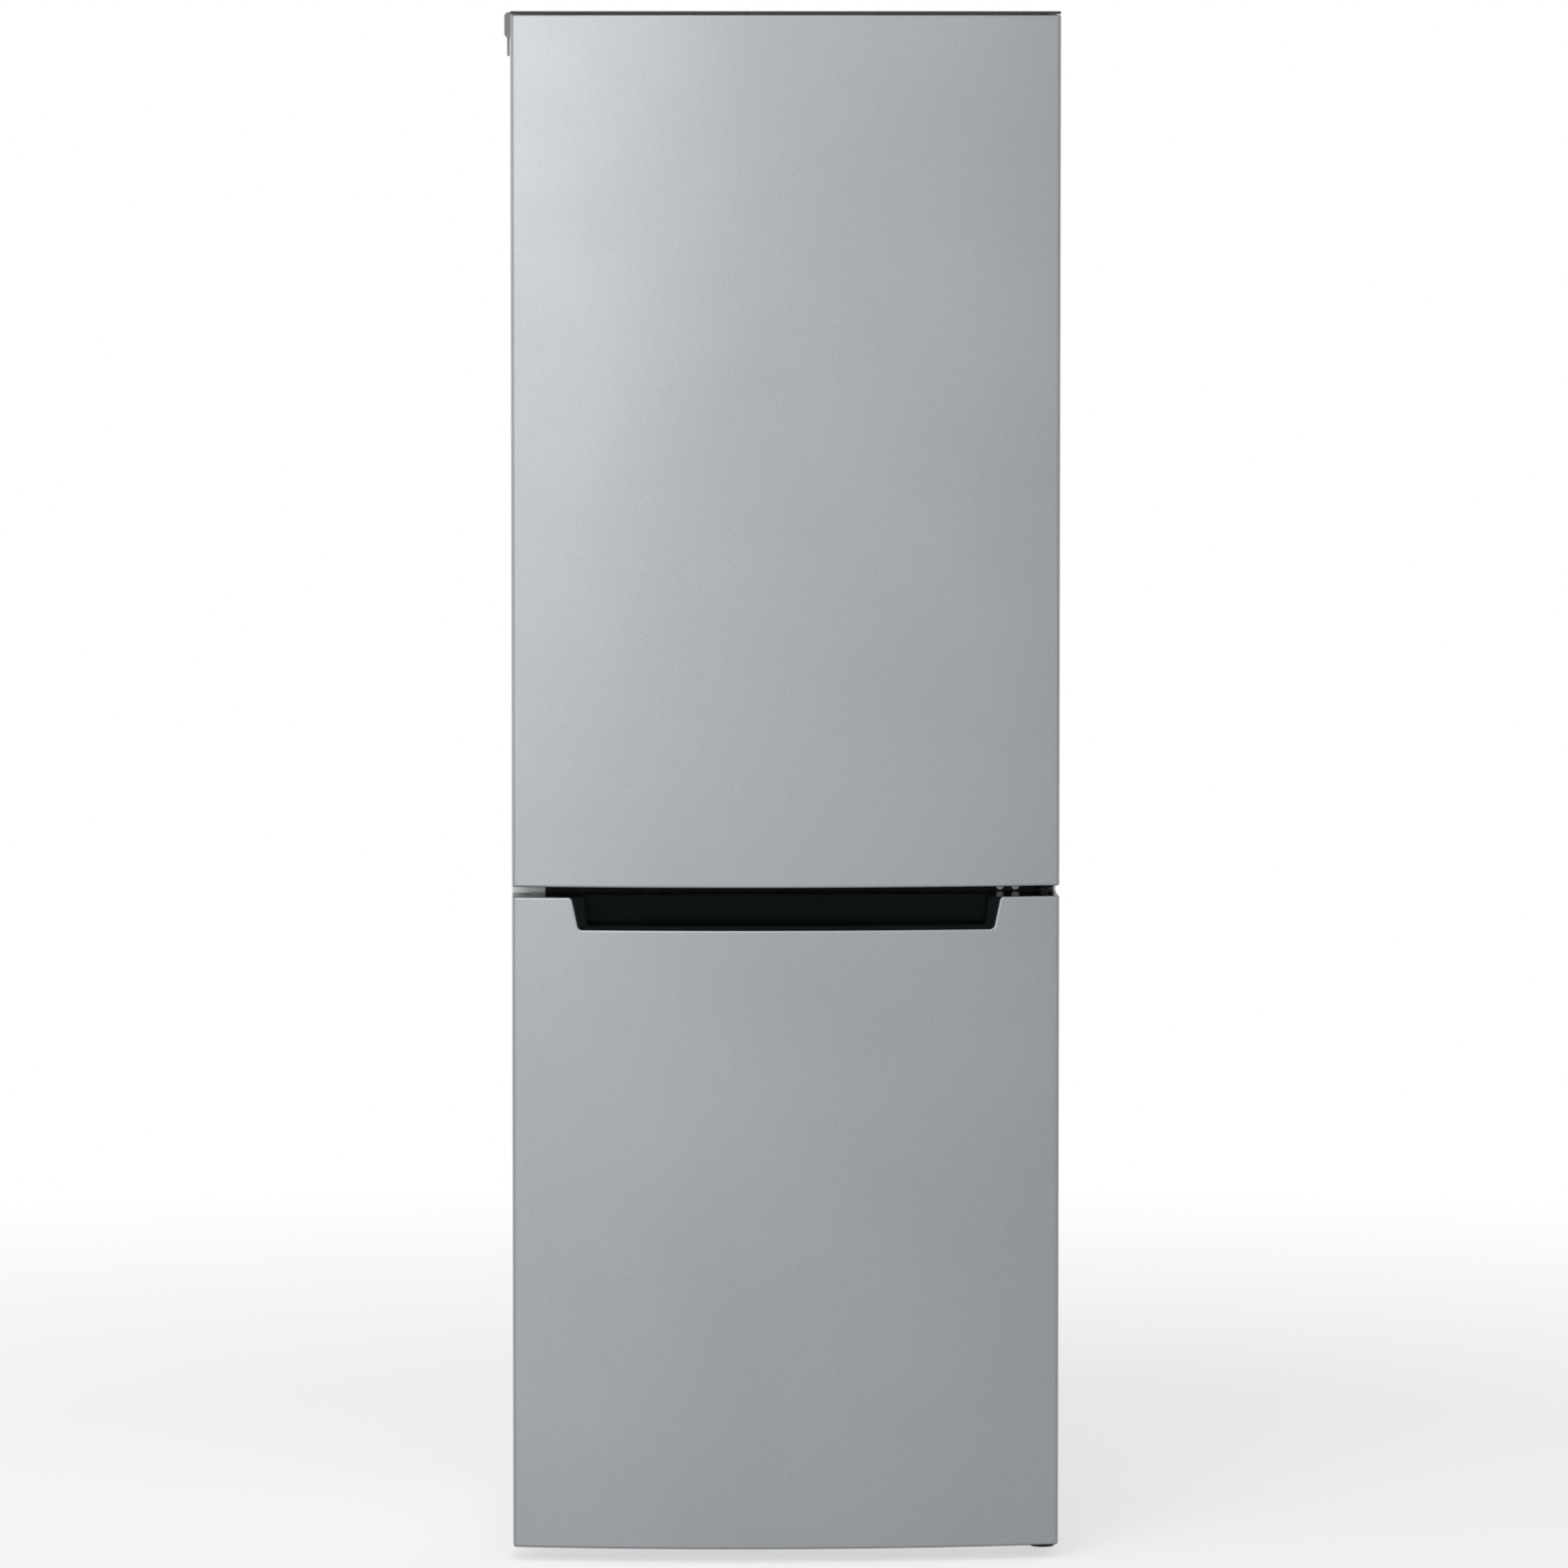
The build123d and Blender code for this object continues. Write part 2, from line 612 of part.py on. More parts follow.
rail_bottom = overall_height - rail_height
rail_back_y = cabinet_back_y + rail_depth
rail_half = door_half + rail_ear
with BuildPart() as rear_top_rail:
    block(both(rail_half), (cabinet_back_y - rail_wrap, rail_back_y), (rail_bottom, overall_height))
    chamfer(rear_top_rail.edges().filter_by(Axis.Y), rail_ear / 2)
    for side in (-1, 1):
        block((side * door_half, side * (door_half + tail_thickness)),
              (cabinet_back_y - rail_wrap / 2, cabinet_back_y),
              (rail_bottom - tail_height, overall_height - rail_ear))
        spacer_x = side * spacer_half_pitch
        block((spacer_x - spacer_width / 2, spacer_x + spacer_width / 2), (rail_back_y, overall_depth / 2),
              (rail_bottom + rail_ear, overall_height - rail_ear))
    block(both(door_half), (cabinet_back_y - rail_wrap - 1, cabinet_back_y),
          (rail_bottom - tail_height - 1, overall_height + 1), Mode.SUBTRACT)
finish(rear_top_rail, "rear_top_rail")

# ---------------------------------------------------------------- hinges and their screws
with BuildPart() as top_hinge:
    block(hinge_limits_x, top_hinge_limits_y, (cabinet_top, overall_height))
    round_bar((hinge_x, hinge_y, upper_door_top - pin_depth), (hinge_x, hinge_y, cabinet_top), pin_radius)
    screw_holes(top_screws)
finish(top_hinge, "top_hinge")

with BuildPart() as middle_hinge:
    plate_z = (gap_middle - hinge_plate / 2, gap_middle + hinge_plate / 2)
    block((hinge_x - boss_radius, hinge_x + boss_radius), (hinge_y, cabinet_front_y - hinge_plate), plate_z)
    round_bar((hinge_x, hinge_y, plate_z[0]), (hinge_x, hinge_y, plate_z[1]), boss_radius)
    block(middle_flange_x, (cabinet_front_y - hinge_plate, cabinet_front_y),
          (gap_middle - middle_flange_height / 2, gap_middle + middle_flange_height / 2))
    round_bar((hinge_x, hinge_y, lower_door_top - pin_depth),
              (hinge_x, hinge_y, upper_door_bottom + pin_depth), pin_radius)
    screw_holes(middle_screws)
finish(middle_hinge, "middle_hinge")

with BuildPart() as bottom_hinge:
    bottom_plate_z = (bottom_plate_top - hinge_plate, bottom_plate_top)
    block(hinge_limits_x, (hinge_y, crossbar_front_y), bottom_plate_z)
    round_bar((hinge_x, hinge_y, bottom_plate_z[0]), (hinge_x, hinge_y, bottom_plate_z[1]), hinge_plate_half)
    block(hinge_limits_x, (crossbar_front_y - hinge_plate, crossbar_front_y),
          (bottom_plate_z[0], cabinet_bottom - bar_wall))
    round_bar((hinge_x, hinge_y, bottom_plate_z[0]),
              (hinge_x, hinge_y, lower_door_bottom + pin_depth), pin_radius)
    screw_holes(bottom_screws)
finish(bottom_hinge, "bottom_hinge")

with BuildPart() as hinge_screws:
    for head, way in top_screws + middle_screws + bottom_screws:
        screw(head, way)
finish(hinge_screws, "hinge_screws")

# ---------------------------------------------------------------- shelves and crisper cover


def framed_glass(level, frame_height, name):
    """A glass plate in a moulded frame that lies on the liner's ribs, as two pieces."""
    half = fridge_half - shelf_side_gap
    inner_edge = half - shelf_frame
    glass_half = inner_edge + glass_lap
    glass_y = (shelf_front_y + shelf_frame - glass_lap, shelf_back_y - shelf_frame + glass_lap)
    with BuildPart() as glass:
        block(both(glass_half), glass_y, (level - 1 - glass_thickness, level - 1))
    with BuildPart() as frame:
        block(both(half), (shelf_front_y, shelf_back_y), (level - frame_height, level))
        chamfer(frame.faces().sort_by(Axis.Y)[0].edges().filter_by(Axis.X), 2)
        block(both(inner_edge), (shelf_front_y + shelf_frame, shelf_back_y - shelf_frame),
              (level - frame_height - 1, level + 1), Mode.SUBTRACT)
        add(glass.part, mode=Mode.SUBTRACT)
    finish(glass, f"{name}_glass")
    finish(frame, f"{name}_trim")


framed_glass(cover_level, cover_frame_height, "crisper_cover")
for row, level in enumerate(shelf_levels):
    framed_glass(level, shelf_frame_height, f"shelf_{row + 1}")

# ---------------------------------------------------------------- crispers
crisper_outer_x = fridge_half - crisper_side_gap
crisper_bottom = fridge_floor + seat_gap
crisper_top = crisper_bottom + crisper_height
for side, side_name in ((-1, "left"), (1, "right")):
    with BuildPart() as crisper:
        block((side * crisper_inner_x, side * crisper_outer_x), (crisper_front_y, crisper_back_y),
              (crisper_bottom, crisper_top))
        fillet(crisper.faces().sort_by(Axis.Z)[0].edges().filter_by(Axis.Y), liner_corner)
        offset(amount=-box_wall, openings=crisper.faces().sort_by(Axis.Z)[-1])
        grip_x = (side * (crisper_inner_x + 4 * crisper_grip), side * (crisper_outer_x - 4 * crisper_grip))
        grip_y = (crisper_front_y - crisper_grip, crisper_front_y)
        block(grip_x, grip_y, (crisper_top - box_wall, crisper_top))
        block(grip_x, (grip_y[0], grip_y[0] + box_wall), (crisper_top - 2 * crisper_grip, crisper_top))
    finish(crisper, f"crisper_{side_name}")

# ---------------------------------------------------------------- freezer drawers
drawer_half = freezer_half - drawer_side_gap
rim_half = freezer_half - rim_side_gap
panel_half = freezer_half - panel_side_gap
drawer_corner = 8
grip_half = 90
for drawer_name, ((low, high), back) in freezer_drawers.items():
    with BuildPart() as drawer:
        block(both(drawer_half), (drawer_front_y, back), (low, high))
        fillet(drawer.edges().filter_by(Axis.Z), drawer_corner)
        fillet(drawer.faces().sort_by(Axis.Z)[0].edges(), drawer_corner / 2)
        offset(amount=-box_wall, openings=drawer.faces().sort_by(Axis.Z)[-1])
        for side in (-1, 1):
            block((side * (drawer_half - box_wall / 2), side * rim_half),
                  (drawer_front_y + drawer_corner, back - drawer_corner), (high - rim_thickness, high))
        panel_y = drawer_front_y - panel_thickness
        block(both(panel_half), (panel_y, drawer_front_y + box_wall / 2), (low, high))
        grip_top = (low + high + box_wall) / 2
        block(both(grip_half), (panel_y - drawer_grip, panel_y), (grip_top - box_wall, grip_top))
        block(both(grip_half), (panel_y - drawer_grip, panel_y - drawer_grip + box_wall),
              (grip_top - drawer_grip, grip_top))
    finish(drawer, f"freezer_drawer_{drawer_name}")

# ---------------------------------------------------------------- air duct, controls and lamp
duct_top = fridge_ceiling - control_height
duct_z = (cover_level, duct_top)
louvre_half = 32
louvre_height = 7
louvre_rows = 2
with BuildPart() as fridge_air_duct:
    block(both(duct_half), (room_back_y - duct_depth, room_back_y), duct_z)
    fillet(fridge_air_duct.faces().sort_by(Axis.Y)[0].edges(), duct_depth / 3)
    block(both(duct_half - duct_wall), (room_back_y - duct_depth + duct_wall, room_back_y + 1),
          (duct_z[0] + duct_wall, duct_z[1] - duct_wall), Mode.SUBTRACT)
    for level in shelf_levels:
        for row in range(louvre_rows):
            for side in (-1, 1):
                louvre_x = side * duct_half / 2
                louvre_z = level - shelf_pitch / 3 - 2 * louvre_height * row
                block((louvre_x - louvre_half, louvre_x + louvre_half),
                      (room_back_y - duct_depth - 1, room_back_y - duct_depth / 2),
                      (louvre_z, louvre_z + louvre_height), Mode.SUBTRACT)
finish(fridge_air_duct, "fridge_air_duct")

control_z = (fridge_ceiling - control_height, fridge_ceiling)
knob_z = (control_z[0] + control_z[1]) / 2
with BuildPart() as control_box:
    block(both(control_half), control_y, control_z)
    fillet(control_box.edges().filter_by(Axis.Z), 2 * control_wall)
    offset(amount=-control_wall, openings=control_box.faces().sort_by(Axis.Z)[-1])
    block(lens_x, lens_y, (control_z[0] - 1, control_z[0] + control_wall + 1), Mode.SUBTRACT)
    round_bar((knob_x, control_y[0] - 1, knob_z), (knob_x, control_y[0] + control_wall + 1, knob_z),
              knob_shaft_radius + pin_clearance, Mode.SUBTRACT)
finish(control_box, "control_box")

with BuildPart() as lamp_lens:
    block((lens_x[0] + seat_gap, lens_x[1] - seat_gap), (lens_y[0] + seat_gap, lens_y[1] - seat_gap),
          (control_z[0] - control_wall, control_z[0] + control_wall))
    chamfer(lamp_lens.faces().sort_by(Axis.Z)[0].edges(), 2)
    block((lens_x[0] - control_wall, lens_x[1] + control_wall),
          (lens_y[0] - control_wall, lens_y[1] + control_wall),
          (control_z[0] + control_wall, control_z[0] + 2 * control_wall))
finish(lamp_lens, "lamp_lens")

knob_back_y = control_y[0] - seat_gap
knob_flutes = 24
flute_radius = 1.4
pointer_half = 2
pointer_rise = 3
with BuildPart() as thermostat_knob:
    round_bar((knob_x, knob_back_y - knob_depth, knob_z), (knob_x, knob_back_y, knob_z), knob_radius)
    chamfer(thermostat_knob.faces().sort_by(Axis.Y)[0].edges(), 1.5)
    with BuildSketch(Plane(origin=(knob_x, knob_back_y, knob_z), z_dir=(0, -1, 0))) as flutes:
        with PolarLocations(knob_radius + flute_radius / 2, knob_flutes):
            Circle(flute_radius)
    extrude(flutes.sketch, amount=knob_depth, mode=Mode.SUBTRACT)
    block((knob_x - pointer_half, knob_x + pointer_half),
          (knob_back_y - knob_depth - pointer_rise, knob_back_y - knob_depth),
          inwards((knob_z - knob_radius, knob_z + knob_radius), 2 * pointer_half))
    round_bar((knob_x, knob_back_y, knob_z), (knob_x, control_y[0] + 3 * control_wall, knob_z),
              knob_shaft_radius)
finish(thermostat_knob, "thermostat_knob")

# ---------------------------------------------------------------- freezer air cover and fan
slot_height = 8
slot_pitch = 18
grille_half_rows = 2
intake_rows = 3
air_cover_half = freezer_half - air_cover_side_gap
air_cover_z = (step_top + seat_gap, freezer_ceiling - liner_corner)
slot_y = (air_cover_y[0] - 1, air_cover_y[1] + 1)
with BuildPart() as freezer_air_cover:
    block(both(air_cover_half), air_cover_y, air_cover_z)
    fillet(freezer_air_cover.edges().filter_by(Axis.Y), liner_corner)
    for row in range(-grille_half_rows, grille_half_rows + 1):
        slot_half = math.sqrt(fan_radius ** 2 - (row * slot_pitch) ** 2)
        slot_z = fan_z + row * slot_pitch
        block(both(slot_half), slot_y, (slot_z - slot_height / 2, slot_z + slot_height / 2), Mode.SUBTRACT)
    for row in range(intake_rows):
        slot_z = air_cover_z[0] + slot_pitch * (row + 1)
        block(both(evaporator_half), slot_y, (slot_z - slot_height / 2, slot_z + slot_height / 2),
              Mode.SUBTRACT)
    for side in (-1, 1):
        block((side * (air_cover_half - air_cover_wall), side * air_cover_half),
              (air_cover_y[1], room_back_y - liner_back_corner), inwards(air_cover_z, liner_back_corner))
finish(freezer_air_cover, "freezer_air_cover")

shaft_front_y = air_cover_y[1] + air_cover_wall
arm_pitch = motor_radius * 0.8
arm_radius = 4
with BuildPart() as fan_motor:
    round_bar((0, motor_y[0], fan_z), (0, motor_y[1], fan_z), motor_radius)
    chamfer(fan_motor.edges().filter_by(GeomType.CIRCLE), 3)
    round_bar((0, shaft_front_y, fan_z), (0, motor_y[0] + 1, fan_z), fan_shaft_radius)
    for angle in (90, 210, 330):
        arm_x = arm_pitch * math.cos(math.radians(angle))
        arm_z = fan_z + arm_pitch * math.sin(math.radians(angle))
        round_bar((arm_x, motor_y[1] - arm_radius, arm_z), (arm_x, room_back_y, arm_z), arm_radius)
finish(fan_motor, "fan_motor")

blade_motor_gap = 5
blade_thickness = 2
blade_y = (shaft_front_y + 1, motor_y[0] - blade_motor_gap)
with BuildPart() as fan_blades:
    round_bar((0, blade_y[0], fan_z), (0, blade_y[1], fan_z), fan_hub_radius)
    blade_front_y = (blade_y[0] + blade_y[1] - blade_thickness) / 2
    with BuildSketch(Plane(origin=(0, blade_front_y, fan_z), z_dir=(0, 1, 0))) as blades:
        with PolarLocations(0, fan_blade_count):
            Polygon((fan_hub_radius / 2, -fan_hub_radius / 3), (fan_radius * 0.9, -fan_radius * 0.28),
                    (fan_radius - 4, fan_radius * 0.1), (fan_radius * 0.8, fan_radius * 0.32),
                    (fan_hub_radius / 2, fan_hub_radius / 3), align=None)
    extrude(blades.sketch, amount=blade_thickness)
    round_bar((0, blade_y[0] - 1, fan_z), (0, blade_y[1] + 1, fan_z), fan_shaft_radius + pin_clearance,
              Mode.SUBTRACT)
finish(fan_blades, "fan_blades")


# ---------------------------------------------------------------- coils


def serpentine(half, y, z_low, rows, pitch, radius, mode=Mode.ADD):
    """A tube that runs to and fro along X, one row above the other, in the open part."""
    with BuildLine(Plane(origin=(0, y, 0), x_dir=(1, 0, 0), z_dir=(0, -1, 0))) as path:
        for row in range(rows):
            side = 1 if row % 2 == 0 else -1
            z = z_low + row * pitch
            Line((-side * half, z), (side * half, z))
            if row < rows - 1:
                ThreePointArc((side * half, z), (side * (half + pitch / 2), z + pitch / 2),
                              (side * half, z + pitch))
    with BuildSketch(Plane(origin=(-half, y, z_low), z_dir=(1, 0, 0))) as section:
        Circle(radius)
    sweep(section.sketch, path=path.wires()[0], mode=mode)


evaporator_rows = int((evaporator_z[1] - evaporator_z[0] - coil_pitch) // coil_pitch)
evaporator_mid_y = (evaporator_y[0] + evaporator_y[1]) / 2
heater_size = 6
with BuildPart() as evaporator:
    for fin in range(fin_count):
        fin_x = -evaporator_half + 2 * evaporator_half / (fin_count - 1) * fin
        last = fin in (0, fin_count - 1)
        fin_back_y = room_back_y if last else evaporator_y[1]
        block((fin_x - fin_thickness / 2, fin_x + fin_thickness / 2), (evaporator_y[0], fin_back_y),
              evaporator_z)
    serpentine(evaporator_half + coil_pitch / 2, evaporator_mid_y, evaporator_z[0] + coil_pitch,
               evaporator_rows, coil_pitch, coil_radius)
    block(both(evaporator_half), (evaporator_y[0] + heater_size, evaporator_y[0] + 2 * heater_size),
          (evaporator_z[0], evaporator_z[0] + heater_size))
finish(evaporator, "evaporator")

condenser_y = cabinet_back_y + condenser_gap
condenser_pitch = (condenser_z[1] - condenser_z[0]) / condenser_rows
condenser_wire_pitch = 2 * condenser_half / (condenser_wires - 1)
wire_offset = condenser_tube + condenser_wire + wire_gap
wire_z = (condenser_z[0] - condenser_pitch / 4, condenser_z[1] - condenser_pitch * 3 / 4)
bracket_half = condenser_wire_pitch / 2 - 2
bracket_rise = 7
with BuildPart() as condenser:
    serpentine(condenser_half, condenser_y, condenser_z[0], condenser_rows, condenser_pitch, condenser_tube)
    for wire in range(condenser_wires):
        wire_x = -condenser_half + condenser_wire_pitch * wire
        wire_y = condenser_y + (wire_offset if wire % 2 else -wire_offset)
        round_bar((wire_x, wire_y, wire_z[0]), (wire_x, wire_y, wire_z[1]), condenser_wire)
    for side in (-1, 1):
        for row in (1, condenser_rows - 2):
            bracket_x = side * condenser_wire_pitch * (condenser_wires // 2 - 2.5)
            bracket_z = condenser_z[0] + condenser_pitch * row
            block((bracket_x - bracket_half, bracket_x + bracket_half), (cabinet_back_y, condenser_y),
                  (bracket_z - bracket_rise, bracket_z + bracket_rise))
finish(condenser, "condenser")

# ---------------------------------------------------------------- compressor, its tubes and the drip tray
compressor_y = (bay_front_y + cabinet_back_y) / 2
foot_plate = 3
foot_plate_margin = 14     # compressor's foot plate outside its grommets
compressor_shoulder = 30
weld_height = 4
weld_rim = 3
terminal_half = 28
terminal_depth = 18
terminal_lift = 20
grommet_neck = 5
grommet_clearance = 0.2
grommet_lip = 3
compressor_spots = [
    (compressor_x + across * compressor_foot_pitch, compressor_y + along * compressor_foot_pitch)
    for across in (-1, 1) for along in (-1, 1)]
with BuildPart() as compressor:
    round_bar((compressor_x, compressor_y, compressor_z[0]), (compressor_x, compressor_y, compressor_z[1]),
              compressor_radius)
    rims = compressor.edges().filter_by(GeomType.CIRCLE).sort_by(Axis.Z)
    fillet(rims[-1], compressor_shoulder)
    fillet(rims[0], compressor_shoulder / 2)
    weld_z = (compressor_z[0] + compressor_z[1]) / 2
    round_bar((compressor_x, compressor_y, weld_z), (compressor_x, compressor_y, weld_z + weld_height),
              compressor_radius + weld_rim)
    plate_size = 2 * (compressor_foot_pitch + foot_plate_margin)
    with BuildSketch(Plane.XY.offset(compressor_z[0])) as foot_plate_outline:
        with Locations((compressor_x, compressor_y)):
            RectangleRounded(plate_size, plate_size, foot_plate_margin)
    extrude(foot_plate_outline.sketch, amount=foot_plate)
    terminal_bottom = compressor_z[0] + terminal_lift
    block((compressor_x + compressor_radius * 0.8, compressor_x + compressor_radius + terminal_depth),
          (compressor_y - terminal_half, compressor_y + terminal_half),
          (terminal_bottom, terminal_bottom + 2 * terminal_half))
    for spot_x, spot_y in compressor_spots:
        round_bar((spot_x, spot_y, compressor_z[0] - 1), (spot_x, spot_y, compressor_z[0] + foot_plate + 1),
                  grommet_neck + grommet_clearance, Mode.SUBTRACT)
finish(compressor, "compressor")

with BuildPart() as compressor_grommets:
    for spot_x, spot_y in compressor_spots:
        plate_top = compressor_z[0] + foot_plate
        round_bar((spot_x, spot_y, pan_top), (spot_x, spot_y, compressor_z[0]), grommet_radius)
        round_bar((spot_x, spot_y, compressor_z[0]), (spot_x, spot_y, plate_top), grommet_neck)
        round_bar((spot_x, spot_y, plate_top), (spot_x, spot_y, plate_top + grommet_lip), grommet_radius - 1)
finish(compressor_grommets, "compressor_grommets")

tray_half_x = 80
tray_half_y = 58
tray_height = 24
tray_corner = 12
tray_z = (compressor_z[1] + seat_gap, compressor_z[1] + seat_gap + tray_height)
with BuildPart() as drip_tray:
    block((compressor_x - tray_half_x, compressor_x + tray_half_x),
          (compressor_y - tray_half_y, compressor_y + tray_half_y), tray_z)
    fillet(drip_tray.edges().filter_by(Axis.Z), tray_corner)
    offset(amount=-box_wall, openings=drip_tray.faces().sort_by(Axis.Z)[-1])
finish(drip_tray, "drip_tray")


def tube(points, radius):
    """A tube along straight runs with rounded turns, in the open part."""
    with BuildLine() as path:
        FilletPolyline(*points, radius=line_bend)
    start = Vector(*points[0])
    with BuildSketch(Plane(origin=start, z_dir=Vector(*points[1]) - start)) as section:
        Circle(radius)
    sweep(section.sketch, path=path.wires()[0])


tube_lane = 18             # between neighbouring tubes
discharge_inset = 25       # discharge tube beside the condenser
suction_offset = 80        # suction tube beside the compressor
tube_drop = 50             # tubes below the compressor's top
capillary_offset = 15
drier_drop = 30            # drier below the bay's top
discharge_x = -condenser_half - discharge_inset
liquid_x = discharge_x - tube_lane
suction_x = compressor_x + compressor_radius + suction_offset
suction_y = compressor_y + compressor_radius + tube_lane
tube_z = compressor_z[1] - tube_drop
condenser_end_z = condenser_z[0] + condenser_pitch * (condenser_rows - 1)
capillary_y = compressor_y + capillary_offset
drier_z = (bay_top - drier_length - drier_drop, bay_top - drier_drop)
liquid_turn_z = drier_z[0] - tube_lane
with BuildPart() as refrigerant_tubes:
    tube([(compressor_x - compressor_radius, compressor_y, tube_z), (discharge_x, compressor_y, tube_z),
          (discharge_x, condenser_y, tube_z), (discharge_x, condenser_y, condenser_z[0]),
          (-condenser_half, condenser_y, condenser_z[0])], condenser_tube)
    tube([(-condenser_half, condenser_y, condenser_end_z), (liquid_x, condenser_y, condenser_end_z),
          (liquid_x, condenser_y, liquid_turn_z), (liquid_x, capillary_y, liquid_turn_z),
          (liquid_x, capillary_y, bay_top)], condenser_tube)
    round_bar((liquid_x, condenser_y, drier_z[0]), (liquid_x, condenser_y, drier_z[1]), drier_radius)
    tube([(compressor_x, compressor_y + compressor_radius, tube_z), (compressor_x, suction_y, tube_z),
          (suction_x, suction_y, tube_z), (suction_x, suction_y, bay_top)], suction_radius)
finish(refrigerant_tubes, "refrigerant_tubes")

# ---------------------------------------------------------------- doors
flange_front_y = door_back_y - liner_wall
cap_inner = skin + cap_skirt
pocket_back_y = door_front_y + pocket_back
notch_edge_z = lower_door_top - notch_depth
pocket_floor_z = notch_edge_z - pocket_floor_drop
handle_body_bottom = pocket_floor_z - cap_wall
handle_body_y = pocket_back_y + cap_wall
dike_z = (fridge_floor + dike_floor_lift, fridge_ceiling - dike_top_drop)
bosses = [(hinge_x, hinge_y), (-hinge_x, hinge_y)]


def notch(top_half, bottom_half, y, z, corner, mode):
    """A handle notch that narrows downwards and runs along Y, in the open part."""
    low, high = z
    with BuildSketch(Plane(origin=(0, y[0], 0), x_dir=(1, 0, 0), z_dir=(0, -1, 0))) as outline:
        with BuildLine():
            Polyline((-top_half, high), (-bottom_half, low), (bottom_half, low), (top_half, high),
                     close=True)
        make_face()
        fillet(outline.vertices().sort_by(Axis.Y)[:2], corner)
    extrude(outline.sketch, amount=y[0] - y[1], mode=mode)


def skin_of_door(z, notched):
    """A door's folded steel skin, open at its back, top and bottom."""
    with BuildPart() as shell:
        door_slab(0, door_back_y, z)
        door_slab(skin, door_back_y + 1, (z[0] - 1, z[1] + 1), Mode.SUBTRACT)
        for side in (-1, 1):
            block((side * (door_half - skin_fold), side * (door_half - skin / 2)),
                  (flange_front_y - skin, flange_front_y), inwards(z, cap_height))
        if notched:
            notch(notch_top_half, notch_bottom_half, (pocket_back_y, front_apex_y - 1),
                  (notch_edge_z, z[1] + 0.01), notch_corner, Mode.SUBTRACT)
    return shell


def end_cap(end_z, way):
    """The plastic cap of a door's end, with a hinge boss at each side; way points into the door."""
    whole = sorted_pair(end_z, end_z + way * cap_height)
    hollow = sorted_pair(end_z + way * cap_wall, end_z + way * (cap_height + 1))
    with BuildPart() as cap:
        door_slab(skin, flange_front_y, whole)
        door_slab(cap_inner, flange_front_y - cap_skirt, hollow, Mode.SUBTRACT)
        for x, y in bosses:
            round_bar((x, y, whole[0]), (x, y, whole[1]), boss_radius)
        for x, y in bosses:
            round_bar((x, y, end_z - way), (x, y, end_z + way * (pin_depth + 1)), pin_radius + pin_clearance,
                      Mode.SUBTRACT)
    return cap


def liner_of_door(z, plug_z, dikes):
    """A door's moulded liner: a flange, a raised middle and, if asked, two dikes that hold the bins."""
    with BuildPart() as liner:
        block(both(door_half - skin), (flange_front_y, door_back_y), z)
        block(both(plug_half), (door_back_y, plug_back_y), plug_z)
        fillet(liner.faces().sort_by(Axis.Y)[-1].edges(), plug_height / 2)
        for side in (-1, 1) if dikes else ():
            block((side * dike_inner_half, side * dike_outer_half), (door_back_y, dike_back_y), dike_z)
        if dikes:
            fillet(liner.faces().filter_by(Axis.Y).sort_by(Axis.Y)[-2:].edges(), 3)
        for lug_top in bin_lug_tops if dikes else ():
            for side in (-1, 1):
                block((side * (bin_half + seat_gap), side * (dike_inner_half + 1)), lug_y,
                      (lug_top - lug_height, lug_top))
        block(both(plug_half - liner_wall), (flange_front_y - 1, plug_back_y - liner_wall),
              inwards(plug_z, liner_wall), Mode.SUBTRACT)
        for side in (-1, 1) if dikes else ():
            block((side * (dike_inner_half + liner_wall), side * (dike_outer_half - liner_wall)),
                  (door_back_y, dike_back_y - liner_wall), inwards(dike_z, liner_wall), Mode.SUBTRACT)
    return liner


def foam_of_door(z, plug_z, dikes, handle_body):
    """The insulation that fills a door between its skin, caps and liner."""
    with BuildPart() as foam:
        door_slab(skin, flange_front_y, inwards(z, cap_wall))
        block(both(plug_half - liner_wall), (flange_front_y - 1, plug_back_y - liner_wall),
              inwards(plug_z, liner_wall))
        for side in (-1, 1) if dikes else ():
            block((side * (dike_inner_half + liner_wall), side * (dike_outer_half - liner_wall)),
                  (door_back_y, dike_back_y - liner_wall), inwards(dike_z, liner_wall))
        for end_z, way in ((z[0], 1), (z[1], -1)):
            rim_z = sorted_pair(end_z, end_z + way * cap_height)
            door_slab(0, flange_front_y, rim_z, Mode.SUBTRACT)
            door_slab(cap_inner, flange_front_y - cap_skirt,
                      sorted_pair(end_z + way * cap_wall, end_z + way * cap_height))
            for x, y in bosses:
                round_bar((x, y, rim_z[0]), (x, y, rim_z[1]), boss_radius, Mode.SUBTRACT)
        for side in (-1, 1):
            block((side * (door_half - skin_fold), side * (door_half - skin / 2)),
                  (flange_front_y - skin, flange_front_y), inwards(z, cap_height), Mode.SUBTRACT)
        if handle_body:
            block(both(handle_body_half), (front_apex_y, handle_body_y), (handle_body_bottom, z[1]),
                  Mode.SUBTRACT)
    return foam


def gasket_ring(z):
    """A door's magnetic seal: a ring on the liner's flange with a hollow bellows."""
    outer_half = door_half - gasket_side_inset
    ring_y = (door_back_y, door_back_y + gasket_thickness)
    with BuildPart() as ring:
        block(both(outer_half), ring_y, z)
        block(both(outer_half - gasket_width), (ring_y[0] - 1, ring_y[1] + 1), inwards(z, gasket_width),
              Mode.SUBTRACT)
        chamfer(ring.faces().sort_by(Axis.Y)[-1].edges(), 1.5)
    return ring


